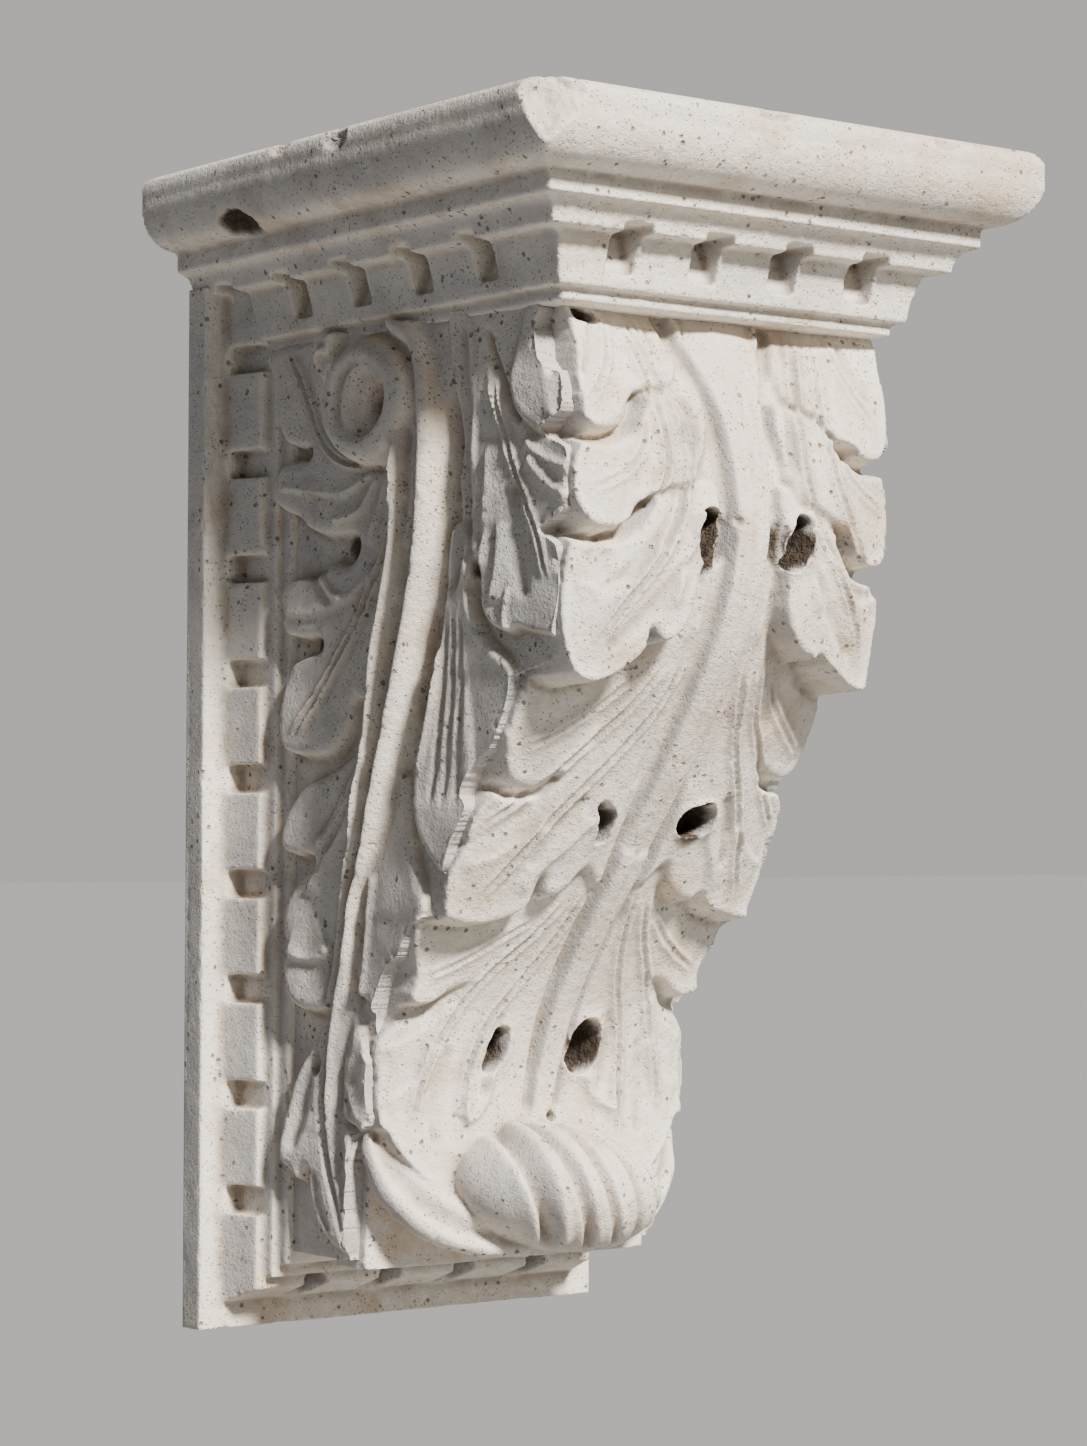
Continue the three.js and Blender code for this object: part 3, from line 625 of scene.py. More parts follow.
    # deep gaps under the lobes and beside the stem
    if left:
        flute(f, [(100, 149), (90, 147), (80, 147.5), (70, 152), (62, 162), (58, 170)], [4.2], 9, ends=0.08)
        flute(f, [(101, 103), (91, 101), (82, 100), (72, 103), (63, 112), (56, 121)], [4.2], 9, ends=0.08)
        flute(f, [(97, -14), (86, -20), (77, -21), (68, -18), (62, -10)], [3.6], 6, ends=0.08)
    else:
        flute(f, [(100, 145), (90, 142), (80, 142), (67, 147), (58, 154)], [4.2], 9, ends=0.08)
        flute(f, [(99, 90), (88, 88), (79, 88.5), (71, 94), (61, 107)], [4.2], 9, ends=0.08)
        flute(f, [(96, -12), (84, -16), (74, -15), (66, -12)], [3.6], 6, ends=0.08)
    flute(f, [(36, 213), (30, 196), (23, 178), (18, 158), (16, 130), (15, 100), (15, 60), (14, 20)],
          [4.0, 4.5, 4.0, 3.5], 7, ends=0.04)

    # drilled eyes between the lobes
    if left:
        drill(f, [(29, 94), (29, 102), (25, 110)], [2.6, 5.4, 5.0], 24)
        drill(f, [(9, 110), (10, 111)], [0.9], 6)
        drill(f, [(76, 206), (86, 208)], [2.0, 3.0], 6)
        drill(f, [(27, -42), (28, -33), (33, -27)], [1.8, 3.2, 1.8], 18)
        drill(f, [(36, -159), (33.5, -150), (32, -142)], [2.0, 4.2, 2.6], 20)
        drill(f, [(50, -185), (54, -184)], [1.0], 4)
    else:
        drill(f, [(27, 93), (30, 102), (33, 111)], [4.0, 5.8, 4.2], 25)
        drill(f, [(25, -34), (33, -33)], [5.8, 6.8], 24)
        drill(f, [(21, -156), (22, -145)], [8.0, 8.0], 22)
        drill(f, [(6, -186), (7, -187)], [2.2], 9)
        drill(f, [(64, 152), (72, 149)], [2.2, 3.0], 10)
    return f


# Shells from fields
def grid_shell(name, field, keep, front, back):
    """A grid laid on the field, faces off it deleted, then given a back by extruding"""
    rows, columns = field.U.shape
    deselect()
    bpy.ops.mesh.primitive_grid_add(x_subdivisions=columns - 1, y_subdivisions=rows - 1, size=1.0)
    piece = bpy.context.object
    points = points_of(piece)
    lay = np.empty(len(points), int)
    lay[np.lexsort((points[:, 0], points[:, 1]))] = np.arange(len(points))
    set_points(piece, front.reshape(-1, 3)[lay])
    mesh = piece.data
    mesh.attributes.new("lay", "INT", "POINT").data.foreach_set("value", lay.astype(np.int32))
    corners = read(mesh.loops, "vertex_index", 1, np.int32).reshape(-1, 4)
    off = ~keep.ravel()[lay][corners].all(axis=1)
    bpy.ops.object.mode_set(mode="EDIT")
    bpy.ops.mesh.select_mode(type="FACE")
    bpy.ops.object.mode_set(mode="OBJECT")
    mesh.polygons.foreach_set("select", off)
    bpy.ops.object.mode_set(mode="EDIT")
    bpy.ops.mesh.delete(type="FACE")
    bpy.ops.mesh.select_all(action="SELECT")
    bpy.ops.mesh.extrude_region_move()
    bpy.ops.object.mode_set(mode="OBJECT")
    mesh = piece.data
    behind = ~read(mesh.vertices, "select", 1, bool)[:, 0]
    lay = read(mesh.attributes["lay"].data, "value", 1, np.int32)[:, 0]
    points = points_of(piece)
    points[behind] = back.reshape(-1, 3)[lay[behind]]
    set_points(piece, points)
    face_outward(piece)
    return place(piece, name)


def flank_shell(field, mirror, front):
    """The side's relief, ending just behind the front's surface"""
    deepen = 1.25
    low, high = -12, 24
    column = front.U[0].searchsorted(95.0)
    rise = np.where(front.cover[:, column], np.clip(front.H[:, column], 0, 30), 0)
    rise = soften(np.repeat(rise[:, None], 3, 1), 12)[:, 1]
    limit = front_depth(np.full_like(field.H, BODY_HALF), field.V) + np.interp(field.V, front.vs, rise) - 4
    H = np.clip(crisp(field.H, 1.3) * deepen, low, high)
    H = soften(np.where(field.cover, H, 0), 1)
    calm = 1 - 0.45 * ease((field.U - limit + 70) / 66)
    H = np.where(H > 2, 2 + (H - 2) * calm, H)
    d = np.minimum(field.U, limit)
    top = np.stack([mirror * (BODY_HALF + H), -d, field.V], -1)
    back = np.stack([np.full_like(H, mirror * (BODY_HALF - 16)), -d, field.V], -1)
    keep = (field.U < limit + field.step) & (field.V > BODY_BOTTOM)
    return grid_shell("side", field, keep, top, back)


def front_shell(field, mirror):
    """One half of the front; beyond its lobes it turns back to the side"""
    depth = front_depth(field.U, field.V)
    rim = soften(field.cover.astype(float), 2)
    inward = np.minimum(field.U, 91.0)
    fine = crisp(np.where(field.cover, field.H, 0), 1.5)
    H = np.where(field.cover, np.clip(fine, -14, 40), -24)
    H = soften(H, 1)
    x = soften(np.where(rim > 0.5, field.U, inward), 1)
    thick = np.where(rim > 0.5, np.maximum(H + 17, 5), 5)
    front = np.stack([mirror * x, -(depth + H), field.V], -1)
    back = np.stack([mirror * np.minimum(x, 88 + 0.1 * (x - 88)), -(depth + H - thick), field.V], -1)
    return grid_shell("front_shell", field, np.ones(field.U.shape, bool), front, back)


# Place across, height and size of each eye in the front
EYES = [(-27, 102, 9), (30, 102, 9), (-28, -34, 5), (28, -33.5, 10), (-34, -150, 6), (21.5, -150, 11),
        (-81, 206, 1)]


def body_core():
    """The plain block behind the carving, let in under each drilled eye"""
    half = BODY_HALF - 9
    f = Field(-half, half, BODY_BOTTOM, 216, 2.0)
    depth = front_depth(f.U, f.V) - 1
    for x, z, size in EYES:
        depth -= 15 * ease((size + 8 - np.hypot(f.U - x, f.V - z)) / 5)
    front = np.stack([f.U, -depth, f.V], -1)
    back = np.stack([f.U, np.full_like(depth, -10.0), f.V], -1)
    return grid_shell("body_core", f, np.ones(f.U.shape, bool), front, back)


def curl():
    """The leaf's rolled tip at the foot, like a snail, with grooves that wind round it"""
    deselect()
    bpy.ops.mesh.primitive_uv_sphere_add(segments=256, ring_count=160, radius=1.0)
    piece = bpy.context.object
    p = points_of(piece) * MM
    x, y, z = p[:, 0], p[:, 1], p[:, 2]
    wrap = np.arctan2(z, -y)
    ends = np.sqrt(np.clip(1 - x * x, 0, 1))
    # ribs go over the roll, leaning outward as they fall
    swell = np.ones_like(x)
    for start, lean, depth, wide in ((-0.70, 0.10, 0.26, 0.060), (-0.38, 0.16, 0.12, 0.045),
                                     (-0.10, 0.18, 0.08, 0.040), (0.26, 0.20, 0.08, 0.040),
                                     (0.60, 0.20, 0.13, 0.045)):
        path = start - lean * (wrap - 0.6) + 0.10 * (wrap - 0.2) ** 2 * (1 if start < 0.2 else -0.3)
        off = x - path
        swell -= depth * np.exp(-(off / wide) ** 2)
        swell += depth * 0.35 * np.exp(-((np.abs(off) - wide * 2.2) / (wide * 1.4)) ** 2)
    swell = 1 + (swell - 1) * ease((wrap + 1.5) / 0.7) * ease((2.3 - wrap) / 0.7)
    bulge = 1 - 0.10 * x
    out = np.stack([x * 60 + 2, -152 + y * 44 * swell * bulge, -222 - 5 * x + z * 33 * swell], 1)
    set_points(piece, out)
    return place(piece, "curl")


HORN_STEPS = 41


def horn(mirror):
    """The leaf's turned under side: a gutter that runs from the side down under the curl"""
    line = spline([(93, -118, -186), (91, -124, -202), (82, -131, -219), (66, -138, -233), (44, -146, -242),
                   (16, -152, -247)], HORN_STEPS)
    widths = between([3, 9, 13, 14, 13, 10], np.linspace(0, 1, HORN_STEPS))
    deselect()
    bpy.ops.mesh.primitive_cylinder_add(vertices=32, radius=1.0, depth=2.0, end_fill_type="NGON")
    piece = bpy.context.object
    bpy.ops.object.mode_set(mode="EDIT")
    bpy.ops.mesh.select_mode(type="EDGE")
    bpy.ops.object.mode_set(mode="OBJECT")
    for edge in piece.data.edges:
        a, b = (piece.data.vertices[i].co for i in edge.vertices)
        edge.select = abs(a.z - b.z) > 1
    bpy.ops.object.mode_set(mode="EDIT")
    bpy.ops.mesh.subdivide(number_cuts=60)
    bpy.ops.object.mode_set(mode="OBJECT")
    p = points_of(piece) * MM
    t = (p[:, 2] + 1) / 2
    i = np.clip(t * (len(line) - 1), 0, len(line) - 1.001).astype(int)
    k = (t * (len(line) - 1) - i)[:, None]
    centre = line[i] * (1 - k) + line[i + 1] * k
    ahead = line[i + 1] - line[i]
    ahead /= np.linalg.norm(ahead, axis=1)[:, None]
    out = np.array([0.0, -1.0, 0.0]) - ahead * (-ahead[:, [1]])
    out /= np.linalg.norm(out, axis=1)[:, None]
    side = np.cross(ahead, out)
    width = widths[i] * (1 - k[:, 0]) + widths[i + 1] * k[:, 0]
    across = p[:, 0]
    gutter = 1 - 0.55 * np.exp(-((across + 0.1) / 0.42) ** 2)
    lift = np.where(p[:, 1] > 0, p[:, 1] * gutter * 0.85, p[:, 1] * 0.9)
    points = centre + side * (across * width)[:, None] + out * (lift * np.maximum(width, 5))[:, None]
    points[:, 0] *= mirror
    set_points(piece, points)
    face_outward(piece)
    return place(piece, "horn")


# Cap and frame
def cube():
    """A cube of size one and its points"""
    deselect()
    bpy.ops.mesh.primitive_cube_add(size=1.0)
    piece = bpy.context.object
    return piece, points_of(piece) * MM


def stack(name, rings):
    """Rings of half width, depth and height, one extruded from the last; the back stays on the wall"""
    half, depth, z = rings[0]
    half2, depth2, z2 = rings[1]
    piece, points = cube()
    top = points[:, 2] > 0
    points[:, 0] *= 2 * np.where(top, half2, half)
    points[:, 1] = np.where(points[:, 1] > 0, 0, -np.where(top, depth2, depth))
    points[:, 2] = np.where(top, z2, z)
    set_points(piece, points)
    for half3, depth3, z3 in rings[2:]:
        activate(piece)
        highest = max(v.co.z for v in piece.data.vertices)
        for face in piece.data.polygons:
            face.select = face.normal.z > 0.9 and abs(face.center.z - highest) < 1e-6
        bpy.ops.object.mode_set(mode="EDIT")
        bpy.ops.mesh.select_mode(type="FACE")
        bpy.ops.mesh.extrude_region_move(TRANSFORM_OT_translate={"value": (0, 0, (z3 - z2) * MM)})
        bpy.ops.transform.resize(value=(half3 / half2, depth3 / depth2, 1), center_override=(0, 0, z3 * MM))
        bpy.ops.object.mode_set(mode="OBJECT")
        half2, depth2, z2 = half3, depth3, z3
    return place(piece, name)


def block(x0, x1, y0, y1, z0, z1):
    piece, points = cube()
    points[:, 0] = np.where(points[:, 0] > 0, x1, x0)
    points[:, 1] = np.where(points[:, 1] > 0, y1, y0)
    points[:, 2] = np.where(points[:, 2] > 0, z1, z0)
    set_points(piece, points)
    return piece


def lean_back(piece, axis, amount):
    """Move the inner top edge of a cutter further in, so that its floor slopes out"""
    points = points_of(piece)
    reach = np.abs(points[:, axis])
    inner = (reach < reach.mean()) & (points[:, 2] > points[:, 2].mean())
    points[inner, axis] -= np.sign(points[inner, axis]) * amount
    set_points(piece, points)


def cap_piece():
    """The slab, its ovolo, the fillets and the dentilled band, all round but at the wall"""
    rings = [(CAP_HALF, CAP_DEPTH, CAP_BOTTOM)]

    def ring(out, z):
        rings.append((CAP_HALF + out, CAP_DEPTH + out, z))
    ring(0, 217.4)
    ring(4.1, 218.0)
    ring(4.1, 224.0)
    ring(9.4, 224.6)
    ring(11.4, 236)
    ring(15.5, 248.7)
    ring(25.6, 249.5)
    for k in range(1, 6):
        a = k / 5 * math.pi / 2
        ring(25.6 + 9.3 * (1 - math.cos(a)), 249.5 + 12 * math.sin(a))
    ring(36.1, 261.9)
    ring(36.1, SLAB_UNDERSIDE)
    ring(38.6, 272.2)
    for k in range(1, 11):
        a = k / 10 * math.pi / 2
        ring(38.6 + 19.1 * math.sin(a), 272.2 + 22.3 * (1 - math.cos(a)))
    ring(57.5, 297)
    ring(56.0, 300.6)
    ring(51.5, 303)
    # the slab stands a little further out at the front than at the sides
    slab_from = 138
    rings = [(half, depth if half < slab_from else 323.4 + (half - 137.4) * 1.093, z)
             for half, depth, z in rings]
    piece = stack("cap", rings)
    # below the frame's top the back is sunk into the plate, so that no two faces lie in one plane
    points = points_of(piece)
    sunk = (points[:, 1] > -1) & (points[:, 2] < 240)
    points[sunk, 1] = -8
    set_points(piece, points)
    cutters = []
    foot = 224.9
    head = 246.5
    notch_foot = 6.5
    notch_head = -3.0
    beyond = 150
    for k in range(4):
        x = (k - 1.5) * 50.2
        wedge = block(x - 8.5, x + 8.5, -CAP_DEPTH - 60, -CAP_DEPTH - notch_foot, foot, head)
        lean_back(wedge, 1, notch_foot - notch_head)
        cutters.append(wedge)
    for k in range(5):
        d = 242 - k * 53
        for side in (-1, 1):
            ends = sorted((side * (CAP_HALF + notch_foot), side * beyond))
            wedge = block(*ends, -d - 8, -d + 8, foot, head)
            lean_back(wedge, 0, notch_foot - notch_head)
            cutters.append(wedge)
    combine(piece, join(cutters), "DIFFERENCE")
    return piece


def frame_step(half0, foot0, forward0, half1, foot1, forward1):
    """One step of the frame: it rises off the plate and closes in on the bracket"""
    piece, points = cube()
    near = points[:, 1] < 0
    points[:, 0] *= 2 * np.where(near, half1, half0)
    points[:, 2] = np.where(points[:, 2] > 0, FRAME_TOP, PLATE_BOTTOM + np.where(near, foot1, foot0))
    points[:, 1] = -PLATE_THICK - np.where(near, forward1, forward0)
    set_points(piece, points)
    return piece


def frame_piece():
    """The back plate with its steps, notched down both sides and along the foot"""
    piece = block(-PLATE_HALF, PLATE_HALF, -PLATE_THICK, 0, PLATE_BOTTOM, FRAME_TOP)
    for half0, foot0, half1, foot1, forward in ((116.8, 12.8, 110.7, 22.5, 25.0),
                                                (105.4, 29, 105.4, 29, 31.5),
                                                (101.3, 36, 101.3, 36, 39.6)):
        base = block(-half0, half0, -PLATE_THICK - 0.01, -4, PLATE_BOTTOM + foot0, FRAME_TOP)
        step = frame_step(half0, foot0, -2, half1, foot1, forward)
        combine(piece, base, "UNION")
        combine(piece, step, "UNION")
    cutters = []
    notch_floor = -18.2
    notch_mouth = -42
    for k in range(9):
        z = -232 + k * 55
        for side in (-1, 1):
            ends = sorted((side * 105.8, side * 135))
            cutters.append(block(*ends, notch_mouth, notch_floor, z - 7.2, z + 7.2))
    for k in range(4):
        x = (k - 1.5) * 48.5
        cutters.append(block(x - 6.5, x + 6.5, notch_mouth, notch_floor, PLATE_BOTTOM - 5,
                             PLATE_BOTTOM + 28.6))
    combine(piece, join(cutters), "DIFFERENCE")
    piece.name = "frame"
    return piece


# Wear and marks
def spread(values, edges, count, rounds):
    """Average the values of each point's neighbours, so many times over"""
    degree = np.bincount(edges.ravel(), minlength=count).astype(float)
    for _ in range(rounds):
        total = np.zeros_like(values)
        for k in range(values.shape[1]):
            total[:, k] = np.bincount(edges[:, 0], values[edges[:, 1], k], count)
            total[:, k] += np.bincount(edges[:, 1], values[edges[:, 0], k], count)
        values = total / np.maximum(degree, 1)[:, None]
    return values


def keep_value(piece, name, values):
    attribute = piece.data.attributes.new(name, "FLOAT", "POINT")
    attribute.data.foreach_set("value", np.clip(values, 0, 1).astype(np.float32))


# Large odd numbers that scatter the cells of the noise over its table
SCATTER = np.array([73856093, 19349663, 83492791])


def noise_at(points, size, seed):
    """Smooth noise from -1 to 1 at points in millimetres"""
    random = np.random.default_rng(int(seed * 1000) % 100000)
    table = random.uniform(-1, 1, 4096)
    p = points / size + seed * 17.3
    cell = np.floor(p).astype(np.int64)
    t = ease(p - cell)
    value = np.zeros(len(points))
    for i in (0, 1):
        for j in (0, 1):
            for k in (0, 1):
                key = np.bitwise_xor.reduce((cell + (i, j, k)) * SCATTER, axis=1)
                x, y, z = (t[:, n] if high else 1 - t[:, n] for n, high in enumerate((i, j, k)))
                value += x * y * z * table[key % len(table)]
    return value


def wear(piece, seed, rounds):
    """Round the arrises, nick them unevenly and leave the faces a little out of true"""
    points = points_of(piece)
    edges = edges_of(piece)
    count = len(points)
    start = points.copy()
    points = spread(points, edges, count, rounds)
    normals = normals_of(piece)
    proud = np.clip(((start - spread(start, edges, count, 10)) * normals).sum(1) / 1.5, 0, 1)
    nick = np.clip(noise_at(start, 7.0, seed) * 0.6 + noise_at(start, 3.0, seed + 1) * 0.5 - 0.22, 0, 1)
    broad = noise_at(start, 38.0, seed + 2) * 0.35 + noise_at(start, 12.0, seed + 3) * 0.18
    inner = (np.abs(start[:, 1]) > 1.5) & (start[:, 2] < SLAB_TOP - 1.5)
    push = -(nick * proud * 3.2) + np.minimum(broad - 0.3, 0)
    points = points + normals * (push * inner)[:, None]
    flat = ~inner
    points[flat] = np.where(np.abs(start[flat] - points[flat]) < 0.4, start[flat], points[flat])
    set_points(piece, np.clip(points, BOX_LOW, BOX_HIGH))


def mark_hollows(piece):
    """Keep how deep each point lies in a hollow, for the dirt that gathers there and the painted shade laid
    in it
    """
    points = points_of(piece)
    edges = edges_of(piece)
    count = len(points)
    near = spread(points, edges, count, 5)
    hollow = ((near - points) * normals_of(piece)).sum(1)
    far = spread(near, edges, count, 20)
    wide = ((far - points) * normals_of(piece)).sum(1)
    cavity = np.clip(hollow / 0.5, 0, 1)[:, None] * 0.6 + np.clip((wide - 0.5) / 2.5, 0, 1)[:, None] * 0.6
    keep_value(piece, "cavity", spread(cavity, edges, count, 1)[:, 0])
    keep_value(piece, "crest", np.clip(-hollow / 0.6, 0, 1))


def mark_soot(piece):
    """Painted shade: a grey laid on the faces that look sideways"""
    facing = ease((np.abs(normals_of(piece)[:, 0]) - 0.45) / 0.4)
    keep_value(piece, "soot", spread(facing[:, None], edges_of(piece), len(facing), 2)[:, 0])


# Place, half length, half height, depth and dirt of each chip in the slab
CHIPS = [(-150, -80, 268, 17, 9, 8, 1.0), (-155, -256, 264, 6, 4, 4, 0.9), (-140, -260, 243, 7, 4, 4, 0.8),
         (-157, -178, 297, 13, 7, 4, 0.3), (155, -300, 268, 8, 6, 4, 0.2), (-158, -128, 300, 10, 5, 3, 0.2),
         (-20, -346, 300, 12, 4, 2, 0.2), (90, -345, 299, 9, 4, 2, 0.1)]


def break_cap(piece):
    """The broken front corner, the hollow under the slab's left end and the smaller chips"""
    points = points_of(piece)
    normals = normals_of(piece)
    x, y, z = points.T
    rough = noise_at(points, 7.0, 21.0) * 0.9 + noise_at(points, 2.4, 22.0) * 0.5
    size = 0.55 + 0.45 * ease((z - 276) / 22) + rough * 0.02
    break_across = 27.0
    break_back = 20.0
    slope = np.array([1 / break_across, 1 / break_back, 0])
    steep = np.linalg.norm(slope)
    over = 1 - (x + SLAB_HALF) / (break_across * size) - (y + SLAB_DEPTH) / (break_back * size)
    push = np.where((over > 0) & (z > 270), over * size / steep + rough * 0.5 * ease(over / 0.1), 0)
    points += push[:, None] * slope / steep
    hole = np.zeros(len(points))
    for x0, y0, z0, along, high, deep, dirt in CHIPS:
        on_front_edge = y0 < -340
        if on_front_edge:
            away = np.sqrt(((x - x0) / along) ** 2 + ((z - z0) / high) ** 2 + ((y - y0) / 12) ** 2)
        else:
            away = np.sqrt(((y - y0) / along) ** 2 + ((z - z0) / high) ** 2 + ((x - x0) / 14) ** 2)
        away += rough * 0.12
        points -= normals * (deep * ease((1 - away) / 0.6))[:, None]
        hole = np.maximum(hole, dirt * ease((1.05 - away) / 0.3))
    set_points(piece, np.clip(points, BOX_LOW, BOX_HIGH))
    return hole


# Depth, height, size and darkness of each eye in the side; the last is the volute's throat, whose darkness
# is painted shade
SIDE_EYES = [(74, 155, 6, 1), (112, 104.5, 9, 1), (82, 56, 6, 1), (221, 87, 7, 1), (79, -55, 5, 1),
             (145, 173.5, 12, 0.65)]


def mark_holes(piece):
    """Keep where the drilled eyes are, for the near-black colour in them; in the volute's throat it is
    painted shade
    """
    points = points_of(piece)
    value = np.zeros(len(points))
    wall = ease((0.85 - np.abs(normals_of(piece)[:, 1])) / 0.35)
    for x, z, size in EYES:
        ground = front_depth(np.full(len(points), float(x)), points[:, 2])
        away = np.hypot(points[:, 0] - x, (points[:, 2] - z) * 0.8)
        sunk = ease((ground + 1.5 + 4 * (z > 0) + points[:, 1]) / 4)
        value = np.maximum(value, ease((size + 6 - away) / 3) * sunk)
        value = np.maximum(value, ease((size + 1 - away) / 2) * wall * (points[:, 1] < -60))
    for d, z, size, dirt in SIDE_EYES:
        away = np.hypot(-points[:, 1] - d, (points[:, 2] - z) * 1.3)
        low = ease((BODY_HALF + 6 - np.abs(points[:, 0])) / 3) * (np.abs(points[:, 0]) > 80)
        # the volute's throat entry paints shade into its hollow
        value = np.maximum(value, dirt * ease((size - away) / 3) * low)
    keep_value(piece, "hole", value)


def triangles(piece):
    return sum(len(p.vertices) - 2 for p in piece.data.polygons)


def thin_out(piece, most):
    """Fewer triangles where the surface is plain"""
    count = triangles(piece)
    if count > most:
        apply_modifier(piece, "DECIMATE", ratio=most / count)


# Build
STEP = 0.9
VOXEL = 1.1
FRONT_TRIANGLES = 195000
SIDE_TRIANGLES = 190000
CAP_TRIANGLES = 190000
FRAME_TRIANGLES = 120000

flank = flank_field(STEP * 1.1)
sides = []
shells = [body_core(), curl()]
for side in (-1, 1):
    face = front_field(STEP, side)
    sides.append(flank_shell(flank, side, face))
    shells.append(front_shell(face, side))
    shells.append(horn(side))
front = join(shells)
apply_modifier(front, "REMESH", mode="VOXEL", voxel_size=VOXEL * MM, use_smooth_shade=True)
apply_modifier(front, "SMOOTH", factor=0.4, iterations=1)
front.name = "front"
sides[0].name = "left_side"
sides[1].name = "right_side"
for piece in (front, *sides):
    wear(piece, 5.0, 0)
    mark_hollows(piece)
    mark_holes(piece)
    mark_soot(piece)
    keep_value(piece, "stain", np.full(len(piece.data.vertices), 0.45))

cap = cap_piece()
wall_frame = frame_piece()
for piece, seed in ((cap, 3.0), (wall_frame, 8.0)):
    fine = VOXEL if piece is cap else VOXEL * 1.25
    apply_modifier(piece, "REMESH", mode="VOXEL", voxel_size=fine * MM, use_smooth_shade=True)
    wear(piece, seed, 1)
    holes = break_cap(piece) if piece is cap else np.zeros(len(piece.data.vertices))
    mark_hollows(piece)
    keep_value(piece, "hole", holes)
    mark_soot(piece)
    z = points_of(piece)[:, 2]
    keep_value(piece, "stain", ease((z - 268) / 12) * 0.9 if piece is cap else ease((-250 - z) / 40) * 0.7)


thin_out(front, FRONT_TRIANGLES)
for piece in sides:
    thin_out(piece, SIDE_TRIANGLES)
thin_out(cap, CAP_TRIANGLES)
thin_out(wall_frame, FRAME_TRIANGLES)
parts = [front, *sides, cap, wall_frame]
for piece in parts:
    activate(piece)
    bpy.ops.object.shade_smooth_by_angle(angle=math.radians(70))


# Material
class Socket:
    """A node's output that can be added, subtracted and multiplied"""

    def __init__(self, tree, out):
        self.tree = tree
        self.out = out

    def math(self, operation, *values):
        return add_node(self.tree, "ShaderNodeMath", {"operation": operation},
                        **{str(i): v for i, v in enumerate(values)})["Value"]

    def __add__(self, other):
        return self.math("ADD", self, other)

    __radd__ = __add__

    def __mul__(self, other):
        return self.math("MULTIPLY", self, other)

    def __sub__(self, other):
        return self.math("SUBTRACT", self, other)


def add_node(tree, kind, settings=None, **sockets):
    node = tree.nodes.new(kind)
    for name, value in (settings or {}).items():
        setattr(node, name, value)
    for name, value in sockets.items():
        key = int(name) if name.isdigit() else name.replace("_", " ")
        if isinstance(value, Socket):
            tree.links.new(value.out, node.inputs[key])
        else:
            node.inputs[key].default_value = value
    return {out.name: Socket(tree, out) for out in node.outputs if out.enabled}


def ramp(tree, value, low, high):
    return add_node(tree, "ShaderNodeMapRange", {"interpolation_type": "SMOOTHSTEP"}, Value=value,
                    From_Min=low, From_Max=high, To_Min=0.0, To_Max=1.0)["Result"]


def blend_colour(tree, factor, a, b):
    node = tree.nodes.new("ShaderNodeMix")
    node.data_type = "RGBA"
    for key, value in ((0, factor), (6, a), (7, b)):
        if isinstance(value, Socket):
            tree.links.new(value.out, node.inputs[key])
        else:
            node.inputs[key].default_value = value
    return Socket(tree, node.outputs[2])


